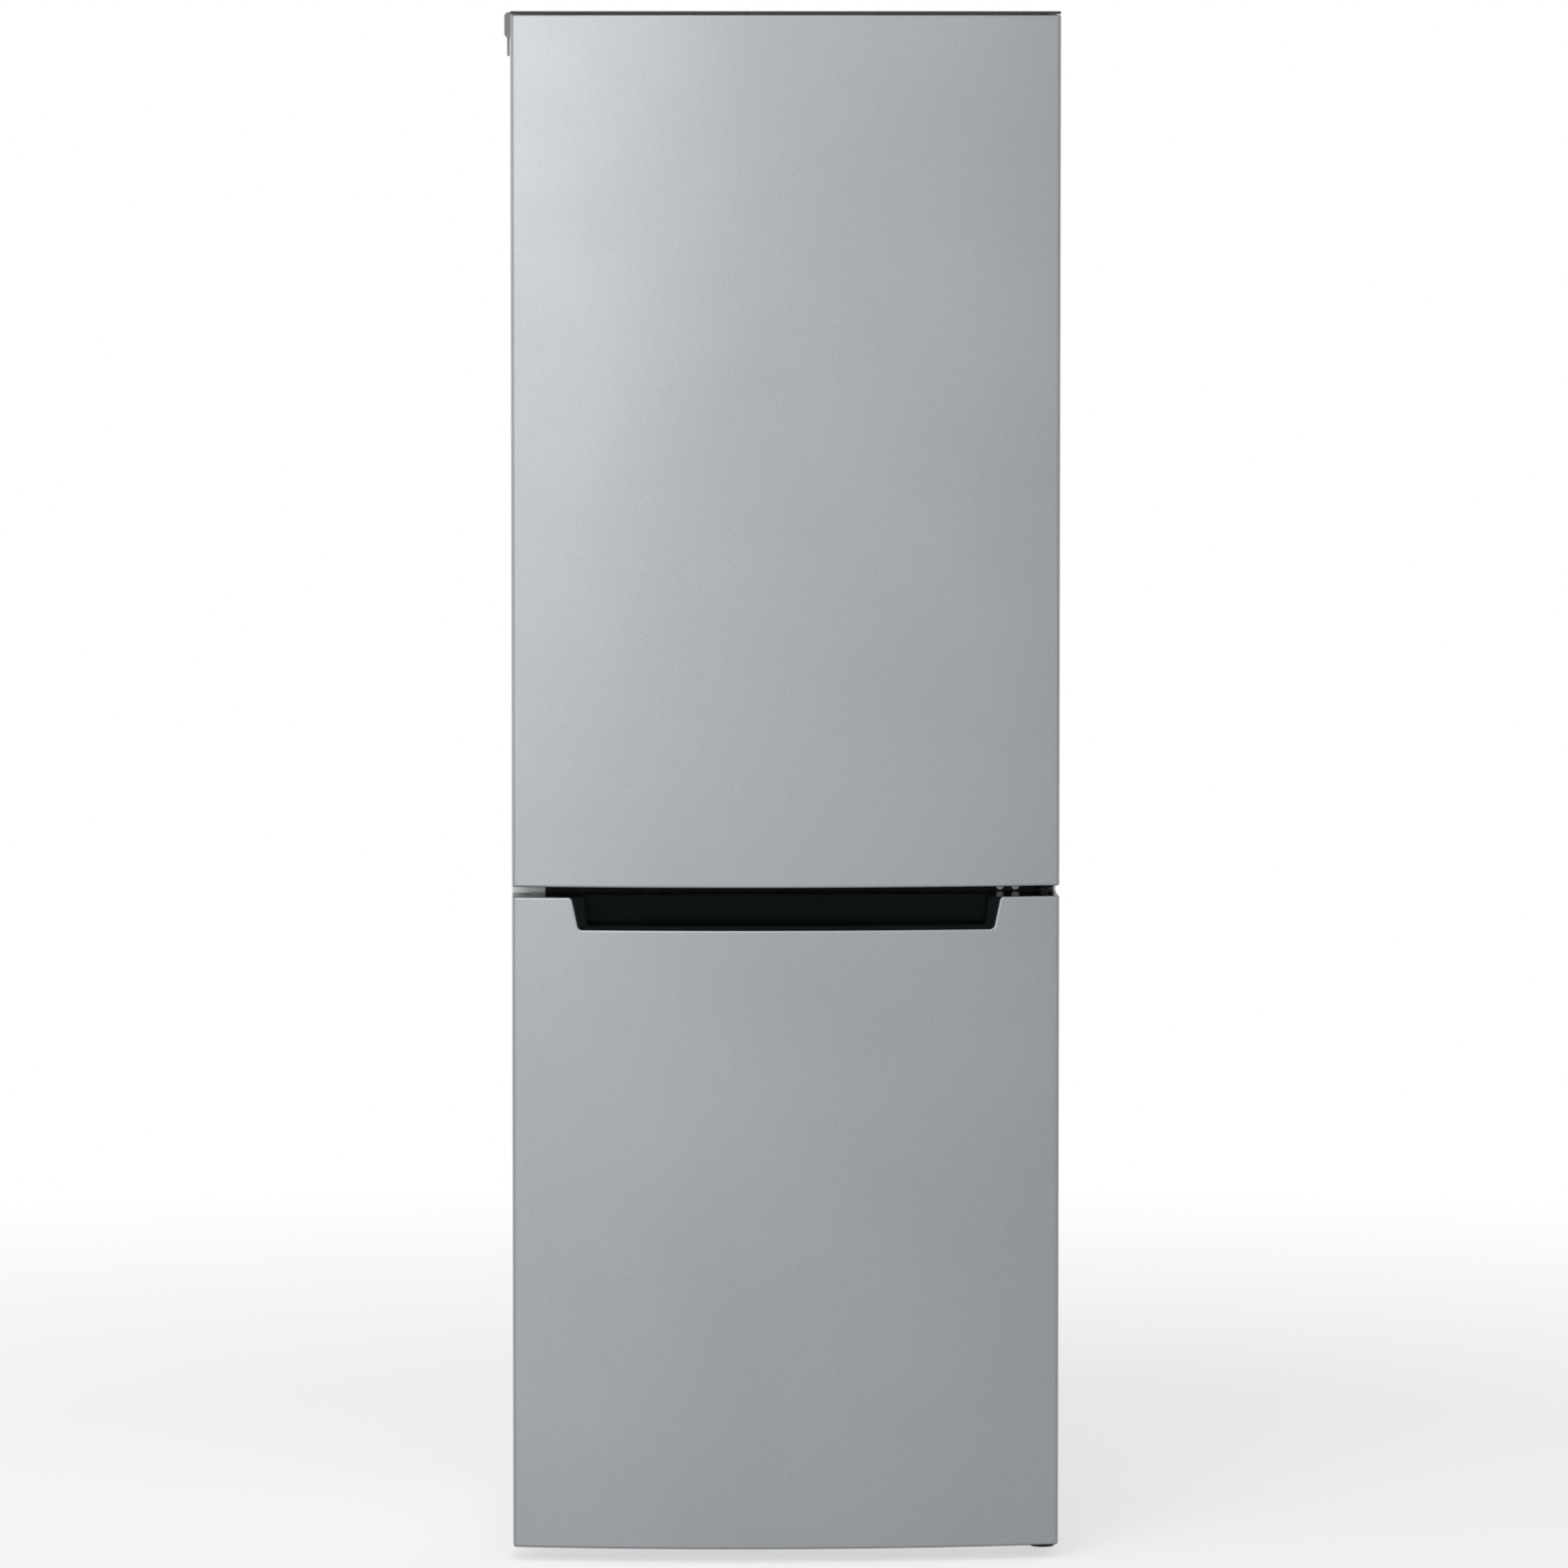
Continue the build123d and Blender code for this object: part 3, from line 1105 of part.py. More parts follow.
upper_door_z = (upper_door_bottom, upper_door_top)
lower_door_z = (lower_door_bottom, lower_door_top)
upper_plug_z = (fridge_floor + plug_end_inset, fridge_ceiling - plug_end_inset)
lower_plug_z = (freezer_floor, freezer_ceiling)
hook_front_y = plug_back_y + bin_back_gap + 2 * hook_wall
hook_y = (hook_front_y, hook_front_y + hook_length)
lug_y = (hook_y[0] + hook_wall + seat_gap, hook_y[1] - hook_wall - seat_gap)
door_bins = {
    "dairy_bin": (dairy_rim - dairy_height, dairy_rim),
    "middle_bin": middle_bin_z,
    "bottle_bin": bottle_bin_z}
hook_top_drop = 8          # top of a bin's hooks below its rim
bin_lug_tops = [high - hook_top_drop - lug_drop - seat_gap for low, high in door_bins.values()]

finish(skin_of_door(upper_door_z, False), "upper_door_skin")
finish(end_cap(upper_door_top, -1), "upper_door_top_cap")
finish(end_cap(upper_door_bottom, 1), "upper_door_bottom_cap")
finish(liner_of_door(upper_door_z, upper_plug_z, True), "upper_door_liner")
finish(foam_of_door(upper_door_z, upper_plug_z, True, False), "upper_door_foam")
finish(gasket_ring(inwards(upper_door_z, gasket_end_inset)), "upper_door_gasket")

finish(skin_of_door(lower_door_z, True), "lower_door_skin")
finish(end_cap(lower_door_bottom, 1), "lower_door_bottom_cap")
finish(liner_of_door(lower_door_z, lower_plug_z, False), "lower_door_liner")
finish(foam_of_door(lower_door_z, lower_plug_z, False, True), "lower_door_foam")
lower_gasket_z = (cabinet_bottom + lower_gasket_lift, lower_door_top - gasket_end_inset)
finish(gasket_ring(lower_gasket_z), "lower_door_gasket")

pocket_sill_z = notch_edge_z + pocket_lip
with BuildPart() as handle_body:
    door_slab(skin, handle_body_y, (handle_body_bottom, lower_door_top))
    block(both(handle_body_half), (front_apex_y, handle_body_y),
          (handle_body_bottom - 1, lower_door_top + 1), Mode.INTERSECT)

with BuildPart() as pocket_well:
    door_slab(skin + pocket_front_wall, pocket_back_y, (pocket_floor_z, pocket_sill_z + 1))
    block(both(pocket_bottom_half), (front_apex_y, pocket_back_y), (pocket_floor_z - 1, lower_door_top),
          Mode.INTERSECT)

with BuildPart() as lower_door_handle_cap:
    add(end_cap(lower_door_top, -1).part)
    add(handle_body.part)
    notch(pocket_top_half, pocket_bottom_half, (pocket_back_y, front_apex_y - 1),
          (pocket_sill_z, lower_door_top + 0.01), notch_corner, Mode.SUBTRACT)
    add(pocket_well.part, mode=Mode.SUBTRACT)
finish(lower_door_handle_cap, "lower_door_handle_cap")

# ---------------------------------------------------------------- door bins and the dairy lid
ear_height = 9
ear_half_y = 5
lid_pin_inset = 12         # lid's pin from the door side of the bin
lid_pin_lift = 3
lid_front_gap = 3
lid_side_gap = 1
lid_pin_recess = 0.5
lid_barrel_radius = 2.7
lid_lip = 3
lid_grip_half = 40
bin_corner = 12
bin_floor_corner = 5
lid_axis_y = plug_back_y + bin_back_gap + lid_pin_inset
lid_axis_z = dairy_rim + lid_pin_lift
for bin_name, (low, high) in door_bins.items():
    with BuildPart() as door_bin:
        block(both(bin_half), (plug_back_y + bin_back_gap, bin_front_y), (low, high))
        fillet(door_bin.edges().filter_by(Axis.Z).sort_by(Axis.Y)[-2:], bin_corner)
        fillet(door_bin.faces().sort_by(Axis.Z)[0].edges(), bin_floor_corner)
        offset(amount=-box_wall, openings=door_bin.faces().sort_by(Axis.Z)[-1])
        hook_top = high - hook_top_drop
        for side in (-1, 1):
            hook_x = (side * (bin_half - box_wall / 2), side * (bin_half + hook_reach))
            block(hook_x, hook_y, (hook_top - hook_height, hook_top))
            block((side * bin_half, side * (bin_half + hook_reach + 1)), inwards(hook_y, hook_wall),
                  (hook_top - hook_height - 1, hook_top - lug_drop), Mode.SUBTRACT)
            if bin_name == "dairy_bin":
                block((side * (bin_half - box_wall), side * bin_half),
                      (lid_axis_y - ear_half_y, lid_axis_y + ear_half_y), (high - 1, high + ear_height))
                round_bar((side * (bin_half - 2 * box_wall), lid_axis_y, lid_axis_z),
                          (side * (bin_half + 1), lid_axis_y, lid_axis_z),
                          lid_pin_radius + pin_clearance, Mode.SUBTRACT)
    finish(door_bin, bin_name)

lid_half = bin_half - box_wall - lid_side_gap
lid_pin_half = bin_half - lid_pin_recess
lid_front_y = bin_front_y - lid_front_gap
lid_z = (dairy_rim + seat_gap, dairy_rim + seat_gap + lid_thickness)
with BuildPart() as dairy_lid:
    block(both(lid_half), (lid_axis_y, lid_front_y), lid_z)
    fillet(dairy_lid.edges().filter_by(Axis.Z).sort_by(Axis.Y)[-2:], bin_corner)
    round_bar((-lid_half, lid_axis_y, lid_axis_z), (lid_half, lid_axis_y, lid_axis_z), lid_barrel_radius)
    round_bar((-lid_pin_half, lid_axis_y, lid_axis_z), (lid_pin_half, lid_axis_y, lid_axis_z),
              lid_pin_radius)
    block(both(lid_grip_half), (lid_front_y - 1, lid_front_y + lid_lip), (lid_z[0], lid_z[1] + lid_lip))
finish(dairy_lid, "dairy_lid")
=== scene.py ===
"""Looks of the bottom freezer refrigerator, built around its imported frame.

Metres. +Z is up, +X is right and the doors face -Y.
"""
import json
import math

import bmesh
import bpy
from mathutils import Matrix, Vector


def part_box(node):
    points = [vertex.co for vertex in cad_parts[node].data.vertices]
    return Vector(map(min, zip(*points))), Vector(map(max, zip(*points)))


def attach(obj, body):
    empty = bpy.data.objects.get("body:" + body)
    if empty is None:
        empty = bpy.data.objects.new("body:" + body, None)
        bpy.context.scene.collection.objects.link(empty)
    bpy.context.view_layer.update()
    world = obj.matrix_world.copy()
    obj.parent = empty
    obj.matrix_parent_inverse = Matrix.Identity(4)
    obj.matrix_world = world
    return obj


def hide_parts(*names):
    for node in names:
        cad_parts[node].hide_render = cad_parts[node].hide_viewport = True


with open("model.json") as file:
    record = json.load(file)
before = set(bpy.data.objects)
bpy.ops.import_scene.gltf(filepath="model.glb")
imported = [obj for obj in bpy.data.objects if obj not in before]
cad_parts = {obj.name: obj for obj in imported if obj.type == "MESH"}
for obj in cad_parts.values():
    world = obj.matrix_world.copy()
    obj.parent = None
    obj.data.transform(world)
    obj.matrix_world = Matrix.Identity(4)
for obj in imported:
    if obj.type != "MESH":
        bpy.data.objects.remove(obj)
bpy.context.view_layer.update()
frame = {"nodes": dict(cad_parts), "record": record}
nodes = frame["nodes"]
scene = bpy.context.scene

# ---------------------------------------------------------------- sizes that the frame's boxes don't give
door_bow = 0.026             # how far a door's front stands out at its middle
door_corner = 0.005          # rounding between a door's front and its sides
notch_top_half = 0.235       # half widths of the notch in the lower door's top edge
notch_bottom_half = 0.2275
notch_depth = 0.0355
notch_corner = 0.005
notch_ear = 0.005            # rounding where the notch meets the door's top edge
sheet_thickness = 0.0008
edge_round = 0.0022          # rolled edge of a door's sheet
edge_tuck = 0.0008           # how far the sheet turns in at the end of an edge
seal_width = 0.014
sharp_bevel = 0.0006
soft_bevel = 0.0012
insert_bevel = 0.0022        # on the glossy black insert of the lower door's notch

# Half of a seal's section: in from its edge and out from the door, as shares of its width and depth.
seal_half_section = [(0, 0), (0, 0.16), (0.19, 0.26), (0.09, 0.44), (0.2, 0.58), (0.03, 0.66),
                     (0, 0.82), (0.04, 0.95), (0.12, 1.0)]

# ---------------------------------------------------------------- fineness of the meshes
front_step = 0.015           # spacing along a door's front
edge_row = 0.0027            # how far from a door's ends the rows between its rolled edges start
middle_rows = 6
corner_steps = 6             # of a door's rounded corner
turn_steps = 7               # of a rounded turn in a door's top edge
roll_degrees = (0, 20, 40, 60, 80)
weld_distance = 1e-6
bevel_segments = 3
bevel_degrees = 40           # edges sharper than this are bevelled
seal_sharp_degrees = 50

skin_low, skin_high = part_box("upper_door_skin")
door_half = skin_high.x
front_apex_y = skin_low.y
door_back_y = skin_high.y
bow_radius = (door_half ** 2 + door_bow ** 2) / (2 * door_bow)
bow_centre_y = front_apex_y + bow_radius

# ---------------------------------------------------------------- materials
texture_low = 0.3            # the part of a noise texture's range that is spread out over a finish
texture_high = 0.7
finishes = {}


def add_node(tree, kind, **inputs):
    """A new shader node with some of its inputs set."""
    node = tree.nodes.new(kind)
    for name, value in inputs.items():
        node.inputs[name.replace("_", " ")].default_value = value
    return node


def noise(tree, coordinates, size, detail):
    """A noise texture with features of about one size, in the object's own space."""
    node = add_node(tree, "ShaderNodeTexNoise", Scale=1 / size, Detail=detail)
    tree.links.new(coordinates, node.inputs["Vector"])
    return node.outputs["Fac"]


def spread(tree, value, low, high):
    """A texture's value mapped to a range."""
    node = add_node(tree, "ShaderNodeMapRange", From_Min=texture_low, From_Max=texture_high,
                    To_Min=low, To_Max=high)
    tree.links.new(value, node.inputs["Value"])
    return node.outputs["Result"]


def shades(tree, fac, first, second):
    """A blend between two colours."""
    node = tree.nodes.new("ShaderNodeMix")
    node.data_type = "RGBA"
    node.inputs["A"].default_value = (*first, 1)
    node.inputs["B"].default_value = (*second, 1)
    tree.links.new(fac, node.inputs["Factor"])
    return node.outputs["Result"]


def make_finish(name, colour, roughness, mottle=0.04, mottle_size=0.06, grain=0.15, grain_size=0.0012,
                fleck=0.0, wear=0.15, stretch=(1, 1, 1), **inputs):
    """Add a material with colour mottling, uneven roughness and a fine surface grain to the finishes."""
    material = bpy.data.materials.new(name)
    material.use_nodes = True
    tree = material.node_tree
    shader = tree.nodes["Principled BSDF"]
    for key, value in inputs.items():
        shader.inputs[key.replace("_", " ")].default_value = value
    mapping = add_node(tree, "ShaderNodeMapping", Scale=stretch)
    tree.links.new(tree.nodes.new("ShaderNodeTexCoord").outputs["Object"], mapping.inputs["Vector"])
    coordinates = mapping.outputs["Vector"]
    fine = noise(tree, coordinates, grain_size, 2)
    broad = noise(tree, coordinates, mottle_size, 3)
    fac = spread(tree, broad, 0, 1)
    if fleck:
        blend = add_node(tree, "ShaderNodeMath")
        blend.operation = "MULTIPLY_ADD"
        blend.inputs[1].default_value = fleck
        tree.links.new(spread(tree, fine, -1, 1), blend.inputs[0])
        tree.links.new(fac, blend.inputs[2])
        fac = blend.outputs["Value"]
    darker = [channel * (1 - mottle) for channel in colour]
    lighter = [min(1, channel * (1 + mottle)) for channel in colour]
    tree.links.new(shades(tree, fac, darker, lighter), shader.inputs["Base Color"])
    uneven = noise(tree, coordinates, mottle_size / 3, 4)
    tree.links.new(spread(tree, uneven, roughness * (1 - wear), min(1, roughness * (1 + wear))),
                   shader.inputs["Roughness"])
    bump = add_node(tree, "ShaderNodeBump", Strength=grain, Distance=grain_size / 4)
    tree.links.new(fine, bump.inputs["Height"])
    tree.links.new(bump.outputs["Normal"], shader.inputs["Normal"])
    finishes[name] = material


make_finish("door_paint", (0.262, 0.273, 0.286), 0.44, mottle=0.045, mottle_size=0.25, grain=0.12,
            grain_size=0.0015, fleck=0.9, wear=0.02, Metallic=0.8, Coat_Weight=0.1, Coat_Roughness=0.3)
make_finish("cabinet_paint", (0.62, 0.64, 0.65), 0.3, mottle=0.015, mottle_size=0.25, grain=0.02,
            grain_size=0.0015, wear=0.04, Metallic=0.2, Coat_Weight=0.6, Coat_Roughness=0.12)
make_finish("galvanised_steel", (0.52, 0.54, 0.55), 0.42, mottle=0.16, mottle_size=0.012, Metallic=1.0)
make_finish("hinge_steel", (0.36, 0.36, 0.37), 0.4, mottle=0.08, mottle_size=0.01, stretch=(1, 1, 8),
            Metallic=1.0)
make_finish("motor_steel", (0.42, 0.43, 0.44), 0.35, mottle=0.08, mottle_size=0.008, Metallic=1.0)
make_finish("evaporator_metal", (0.70, 0.72, 0.74), 0.38, mottle=0.07, mottle_size=0.02, Metallic=1.0)
# Black enamel of the condenser and compressor. On the mullion rail and hinges in the gap between the
# doors, this near-black colour with its weak sheen is also painted shade of that narrow gap.
make_finish("black_enamel", (0.008, 0.0085, 0.009), 0.42, mottle=0.25, grain=0.4, grain_size=0.0018,
            Specular_IOR_Level=0.12)
make_finish("copper_tube", (0.62, 0.33, 0.20), 0.34, mottle=0.18, mottle_size=0.02, Metallic=1.0)
make_finish("seal_rubber", (0.10, 0.102, 0.105), 0.6, mottle=0.08, grain=0.25, Specular_IOR_Level=0.3)
make_finish("black_rubber", (0.03, 0.03, 0.03), 0.7, mottle=0.2, grain=0.4)
make_finish("foot_plastic", (0.035, 0.035, 0.037), 0.5, mottle=0.2, grain=0.35)
make_finish("black_plastic", (0.003, 0.005, 0.0055), 0.14, mottle=0.15, grain=0.01,
            Specular_IOR_Level=0.04)
make_finish("cap_plastic", (0.012, 0.012, 0.013), 0.55, mottle=0.15, grain=0.3, Specular_IOR_Level=0.12)
make_finish("cover_plastic", (0.04, 0.043, 0.046), 0.6, mottle=0.1, grain=0.5, grain_size=0.0016,
            Specular_IOR_Level=0.15)
make_finish("rail_plastic", (0.19, 0.195, 0.20), 0.55, mottle=0.06, grain=0.4, grain_size=0.0016,
            Specular_IOR_Level=0.25)
make_finish("white_plastic", (0.80, 0.81, 0.81), 0.28, mottle=0.012, mottle_size=0.2, grain=0.02,
            wear=0.05, Coat_Weight=0.2)
make_finish("trim_plastic", (0.72, 0.73, 0.74), 0.3, mottle=0.03, grain=0.1, Coat_Weight=0.2)
make_finish("insulation", (0.72, 0.62, 0.40), 0.9, mottle=0.12, mottle_size=0.02, grain=0.8,
            grain_size=0.002)
make_finish("shelf_glass", (0.86, 0.94, 0.92), 0.03, mottle=0.01, grain=0.004, Transmission_Weight=1.0,
            IOR=1.5)
make_finish("clear_plastic", (0.88, 0.92, 0.94), 0.08, mottle=0.015, grain=0.01,
            Transmission_Weight=1.0, IOR=1.45)

node_slots = {part["node"]: part["material_slot"] for part in frame["record"]["subparts"]}
bevel_width = {"white_plastic": soft_bevel, "trim_plastic": soft_bevel, "rail_plastic": soft_bevel,
               "black_plastic": insert_bevel, "cap_plastic": soft_bevel}
plain_slots = ("insulation", "black_enamel", "copper_tube", "evaporator_metal")   # left without bevels
for node_name, solid in nodes.items():
    slot_name = node_slots[node_name]
    for place in solid.material_slots:
        place.material = finishes[slot_name]
    if slot_name in plain_slots:
        continue
    bevel = solid.modifiers.new("edges", "BEVEL")
    bevel.width = bevel_width.get(slot_name, sharp_bevel)
    bevel.segments = bevel_segments
    bevel.limit_method = "ANGLE"
    bevel.angle_limit = math.radians(bevel_degrees)
    bevel.harden_normals = True


# ---------------------------------------------------------------- mesh helpers
def new_piece(name, mesh, body, slot_name):
    """An object from a bmesh, riding on a body, with a slot's finish."""
    data = bpy.data.meshes.new(name)
    mesh.to_mesh(data)
    mesh.free()
    for face in data.polygons:
        face.use_smooth = True
    data.materials.append(finishes[slot_name])
    piece = bpy.data.objects.new(name, data)
    scene.collection.objects.link(piece)
    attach(piece, body)
    return piece


def rounded_path(points, radii):
    """Points (x, z, normal x, normal z) along straight runs from left to right with rounded turns."""
    corners = [Vector(point) for point in points]
    path = []

    def run(first, last):
        """Add evenly spaced points from one place to another."""
        count = max(1, round((last - first).length / front_step))
        along = (last - first).normalized()
        for index in range(count + 1):
            spot = first.lerp(last, index / count)
            path.append((spot.x, spot.y, -along.y, along.x))

    start = corners[0]
    for before, corner, after, radius in zip(corners, corners[1:], corners[2:], radii):
        arrive = (corner - before).normalized()
        leave = (after - corner).normalized()
        turn = arrive.angle_signed(leave)
        cut = radius * math.tan(abs(turn) / 2)
        centre_side = -1 if turn > 0 else 1
        first_normal = Vector((-arrive.y, arrive.x))
        centre = corner - arrive * cut + first_normal * radius * centre_side
        run(start, corner - arrive * cut)
        for index in range(1, turn_steps):
            share = index / turn_steps
            way = arrive.copy()
            way.rotate(Matrix.Rotation(-turn * share, 2))
            normal = Vector((-way.y, way.x))
            spot = centre - normal * radius * centre_side
            path.append((spot.x, spot.y, normal.x, normal.y))
        start = corner + leave * cut
    run(start, corners[-1])
    return path


# ---------------------------------------------------------------- door skins
def front_y(x, inset):
    """Y of the doors' bowed front at x, moved inwards by inset."""
    return bow_centre_y - math.sqrt((bow_radius - inset) ** 2 - x ** 2)


corner_x = door_half - door_corner
corner_y = front_y(corner_x, door_corner)
corner_tilt = math.asin(corner_x / (bow_radius - door_corner))
front_end_x = bow_radius * math.sin(corner_tilt)

# Rows of a rolled edge: how far each lies from the door's end and how far in from its face.
roll_angles = [math.radians(angle) for angle in roll_degrees]
roll = [(edge_round * (1 - math.sin(angle)), edge_round * (1 - math.cos(angle))) for angle in roll_angles]
roll.append((edge_tuck, edge_round))


def side_station(side, y, tuck):
    """A place on a door's side wall, for any inset of the sheet."""
    return lambda inset, shift: (side * (door_half - max(inset, tuck)), y)


def corner_station(side, share):
    """A place on the rounding between a door's side and its front."""
    turn = share * (math.pi / 2 - corner_tilt)

    def place(inset, shift):
        reach = door_corner - inset
        return side * (corner_x + reach * math.cos(turn)), corner_y - reach * math.sin(turn)
    return place


def front_station(x):
    """A place on a door's bowed front."""
    def place(inset, shift):
        inset_x = (x - shift) * (bow_radius - inset) / bow_radius
        return inset_x, front_y(inset_x, inset)
    return place


def sheet_stations(top, notched):
    """Each column of a door's sheet from left to right: its place, its top and the top edge's normal."""
    edge_points = [(-front_end_x, top), (front_end_x, top)]
    radii = []
    if notched:
        notch_z = top - notch_depth
        edge_points[1:1] = [(-notch_top_half, top), (-notch_bottom_half, notch_z),
                            (notch_bottom_half, notch_z), (notch_top_half, top)]
        radii = [notch_ear, notch_corner, notch_corner, notch_ear]
    side_places = [(door_back_y, edge_tuck), (door_back_y - edge_tuck / 2, edge_tuck / 3),
                   (door_back_y - edge_tuck, 0), (corner_y, 0)]
    corner_shares = [step / corner_steps for step in range(1, corner_steps)]
    left = [(side_station(-1, y, tuck), top, 0, 1) for y, tuck in side_places]
    left += [(corner_station(-1, share), top, 0, 1) for share in corner_shares]
    right = [(corner_station(1, share), top, 0, 1) for share in reversed(corner_shares)]
    right += [(side_station(1, y, tuck), top, 0, 1) for y, tuck in reversed(side_places)]
    front = [(front_station(x), z, normal_x, normal_z)
             for x, z, normal_x, normal_z in rounded_path(edge_points, radii)]
    return left + front + right


def sheet_column(station, bottom, top, normal_x, normal_z):
    """A column of points on a door's sheet, from its bottom edge's roll to its top edge's roll."""
    column = []
    for drop, inset in reversed(roll):
        x, y = station(inset, 0)
        column.append((x, y, bottom + drop))
    first_z = bottom + edge_row
    last_z = top - normal_z * edge_row
    for row in range(middle_rows + 1):
        share = row / middle_rows
        x, y = station(0, normal_x * edge_row * share)
        column.append((x, y, first_z + (last_z - first_z) * share))
    for drop, inset in roll:
        x, y = station(inset, normal_x * drop)
        column.append((x, y, top - normal_z * drop))
    return column


def door_skin(name, node_name, body, notched):
    """A door's bowed steel sheet with rolled edges, in place of its plain solid."""
    low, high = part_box(node_name)
    mesh = bmesh.new()
    columns = []
    for station, top, normal_x, normal_z in sheet_stations(high.z, notched):
        points = sheet_column(station, low.z, top, normal_x, normal_z)
        columns.append([mesh.verts.new(point) for point in points])
    for first, second in zip(columns, columns[1:]):
        for row in range(len(first) - 1):
            mesh.faces.new((first[row], second[row], second[row + 1], first[row + 1]))
    bmesh.ops.remove_doubles(mesh, verts=mesh.verts, dist=weld_distance)
    piece = new_piece(name, mesh, body, "door_paint")
    solidify = piece.modifiers.new("sheet", "SOLIDIFY")
    solidify.thickness = sheet_thickness
    solidify.offset = -1
    normals = piece.modifiers.new("normals", "WEIGHTED_NORMAL")
    normals.keep_sharp = True
    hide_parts(node_name)


door_skin("upper_door_sheet", "upper_door_skin", "upper_door", False)
door_skin("lower_door_sheet", "lower_door_skin", "lower_door", True)


# ---------------------------------------------------------------- door seals
def seal(name, node_name, body):
    """A door's seal: a foot, a folded bellows and a magnet strip, mitred at its corners."""
    low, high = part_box(node_name)
    depth = high.y - low.y
    section = [(inward * seal_width, low.y + rise * depth) for inward, rise in seal_half_section]
    section += [(seal_width - inward, y) for inward, y in reversed(section)]
    mesh = bmesh.new()
    rings = []
    for side_x, side_z in ((-1, -1), (1, -1), (1, 1), (-1, 1)):
        edge_z = low.z if side_z < 0 else high.z
        rings.append([mesh.verts.new((side_x * (high.x - inward), y, edge_z - side_z * inward))
                      for inward, y in section])
    for ring, after in zip(rings, rings[1:] + rings[:1]):
        for place in range(len(section)):
            following = (place + 1) % len(section)
            mesh.faces.new((ring[place], after[place], after[following], ring[following]))
    bmesh.ops.recalc_face_normals(mesh, faces=mesh.faces)
    piece = new_piece(name, mesh, body, "seal_rubber")
    piece.data.set_sharp_from_angle(angle=math.radians(seal_sharp_degrees))
    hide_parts(node_name)


seal("upper_door_seal", "upper_door_gasket", "upper_door")
seal("lower_door_seal", "lower_door_gasket", "lower_door")

# ---------------------------------------------------------------- floor and background
floor_half = 60
floor_colour = (0.9, 0.9, 0.9, 1)
floor_roughness = 0.9
floor_glow_share = 0.62      # how much of the background's white is in the floor near the object
floor_clear_radius = 1.2     # where the floor starts to fade into the white background
floor_fade_radius = 3.2
white = (1, 1, 1, 1)
background_level = 1.0
world_level = 0.45           # strength of the light from all round on the object


def background_rays(tree):
    """1 for the rays that see the background itself: camera, glossy and transmission rays."""
    path = tree.nodes.new("ShaderNodeLightPath")
    total = path.outputs["Is Camera Ray"]
    for name in ("Is Glossy Ray", "Is Transmission Ray"):
        either = tree.nodes.new("ShaderNodeMath")
        either.operation = "MAXIMUM"
        tree.links.new(total, either.inputs[0])
        tree.links.new(path.outputs[name], either.inputs[1])
        total = either.outputs["Value"]
    return total


def floor_finish():
    """A pale floor that keeps the object's shadow and fades into the white background."""
    material = bpy.data.materials.new("floor_paint")
    material.use_nodes = True
    tree = material.node_tree
    shader = tree.nodes["Principled BSDF"]
    shader.inputs["Base Color"].default_value = floor_colour
    shader.inputs["Roughness"].default_value = floor_roughness
    glow = add_node(tree, "ShaderNodeEmission", Color=white, Strength=background_level)
    mix = tree.nodes.new("ShaderNodeMixShader")
    place = tree.nodes.new("ShaderNodeTexCoord")
    reach = tree.nodes.new("ShaderNodeVectorMath")
    reach.operation = "LENGTH"
    tree.links.new(place.outputs["Object"], reach.inputs[0])
    fade = add_node(tree, "ShaderNodeMapRange", From_Min=floor_clear_radius, From_Max=floor_fade_radius,
                    To_Min=floor_glow_share, To_Max=1.0)
    tree.links.new(reach.outputs["Value"], fade.inputs["Value"])
    glow_fac = tree.nodes.new("ShaderNodeMath")
    glow_fac.operation = "MULTIPLY"
    tree.links.new(background_rays(tree), glow_fac.inputs[0])
    tree.links.new(fade.outputs["Result"], glow_fac.inputs[1])
    tree.links.new(glow_fac.outputs["Value"], mix.inputs["Fac"])
    tree.links.new(shader.outputs["BSDF"], mix.inputs[1])
    tree.links.new(glow.outputs["Emission"], mix.inputs[2])
    tree.links.new(mix.outputs["Shader"], tree.nodes["Material Output"].inputs["Surface"])
    return material


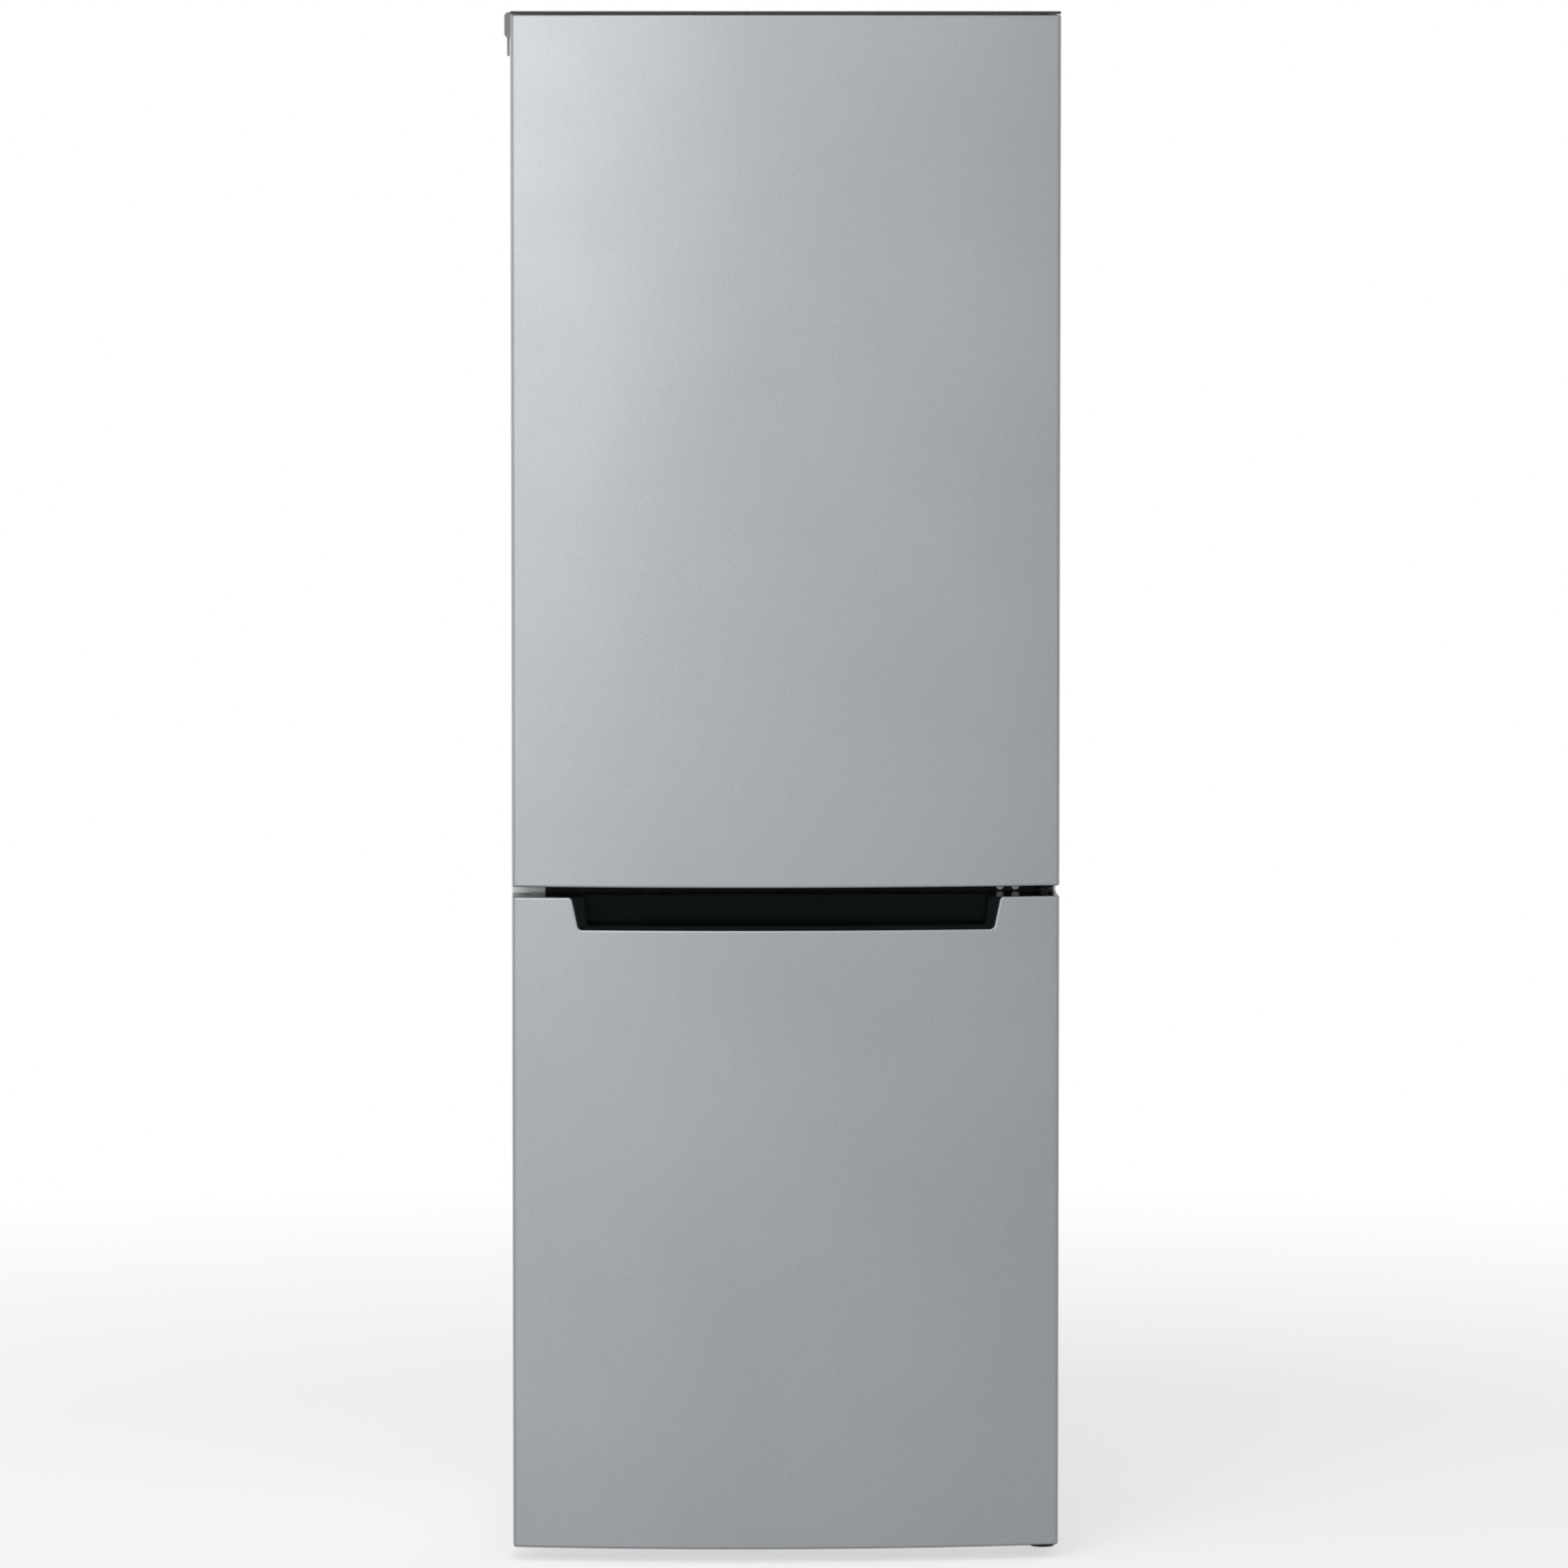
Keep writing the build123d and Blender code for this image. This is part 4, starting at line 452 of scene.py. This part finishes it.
def studio_world():
    """A world that is white where it is seen, and lights the object at its own level."""
    world = bpy.data.worlds.new("studio")
    world.use_nodes = True
    tree = world.node_tree
    tree.nodes.clear()
    surround = add_node(tree, "ShaderNodeBackground", Color=white, Strength=world_level)
    seen = add_node(tree, "ShaderNodeBackground", Color=white, Strength=background_level)
    mix = tree.nodes.new("ShaderNodeMixShader")
    output = tree.nodes.new("ShaderNodeOutputWorld")
    tree.links.new(background_rays(tree), mix.inputs["Fac"])
    tree.links.new(surround.outputs["Background"], mix.inputs[1])
    tree.links.new(seen.outputs["Background"], mix.inputs[2])
    tree.links.new(mix.outputs["Shader"], output.inputs["Surface"])
    return world


floor_mesh = bpy.data.meshes.new("floor")
floor_mesh.from_pydata([(-floor_half, -floor_half, 0), (floor_half, -floor_half, 0),
                        (floor_half, floor_half, 0), (-floor_half, floor_half, 0)], [], [(0, 1, 2, 3)])
floor_mesh.materials.append(floor_finish())
floor = bpy.data.objects.new("floor", floor_mesh)
scene.collection.objects.link(floor)
scene.world = studio_world()


# ---------------------------------------------------------------- lamps
def softbox(name, place, target, size, power):
    """A square area lamp that faces a point."""
    data = bpy.data.lights.new(name, "AREA")
    data.shape = "SQUARE"
    data.size = size
    data.energy = power
    lamp = bpy.data.objects.new(name, data)
    lamp.location = place
    lamp.rotation_euler = (Vector(target) - Vector(place)).to_track_quat("-Z", "Y").to_euler()
    scene.collection.objects.link(lamp)


# Each lamp's name, its place, the point that it faces, its size and its power in watts.
lamps = [
    ("key_lamp", (-2.6, -5.8, 2.3), (0, -0.3, 1.3), 2.8, 145),
    ("fill_lamp", (1.2, -6.2, 1.9), (0, -0.3, 1.2), 2.6, 30),
    ("rim_lamp", (-0.9, -3.9, 4.9), (0, -0.3, 0.9), 1.8, 30),
    ("top_lamp", (-0.6, -1.4, 4.2), (0, -0.2, 1.0), 2.0, 24),
    ("side_lamp", (-2.6, 0.3, 1.1), (0, 0, 0.9), 1.6, 9),
]
for lamp_values in lamps:
    softbox(*lamp_values)

# ---------------------------------------------------------------- camera
camera_place = (-0.3175, -11.0, 1.675)
camera_pitch = -0.07623      # radians from level
camera_yaw = -0.02942        # radians from straight ahead
camera_lens = 225.4          # millimetres, as is the sensor
camera_sensor = 36
camera_data = bpy.data.cameras.new("camera")
camera_data.lens = camera_lens
camera_data.sensor_width = camera_sensor
camera = bpy.data.objects.new("camera", camera_data)
camera.location = camera_place
camera.rotation_euler = (math.pi / 2 + camera_pitch, 0, camera_yaw)
scene.collection.objects.link(camera)
scene.camera = camera
scene.view_settings.view_transform = "Standard"
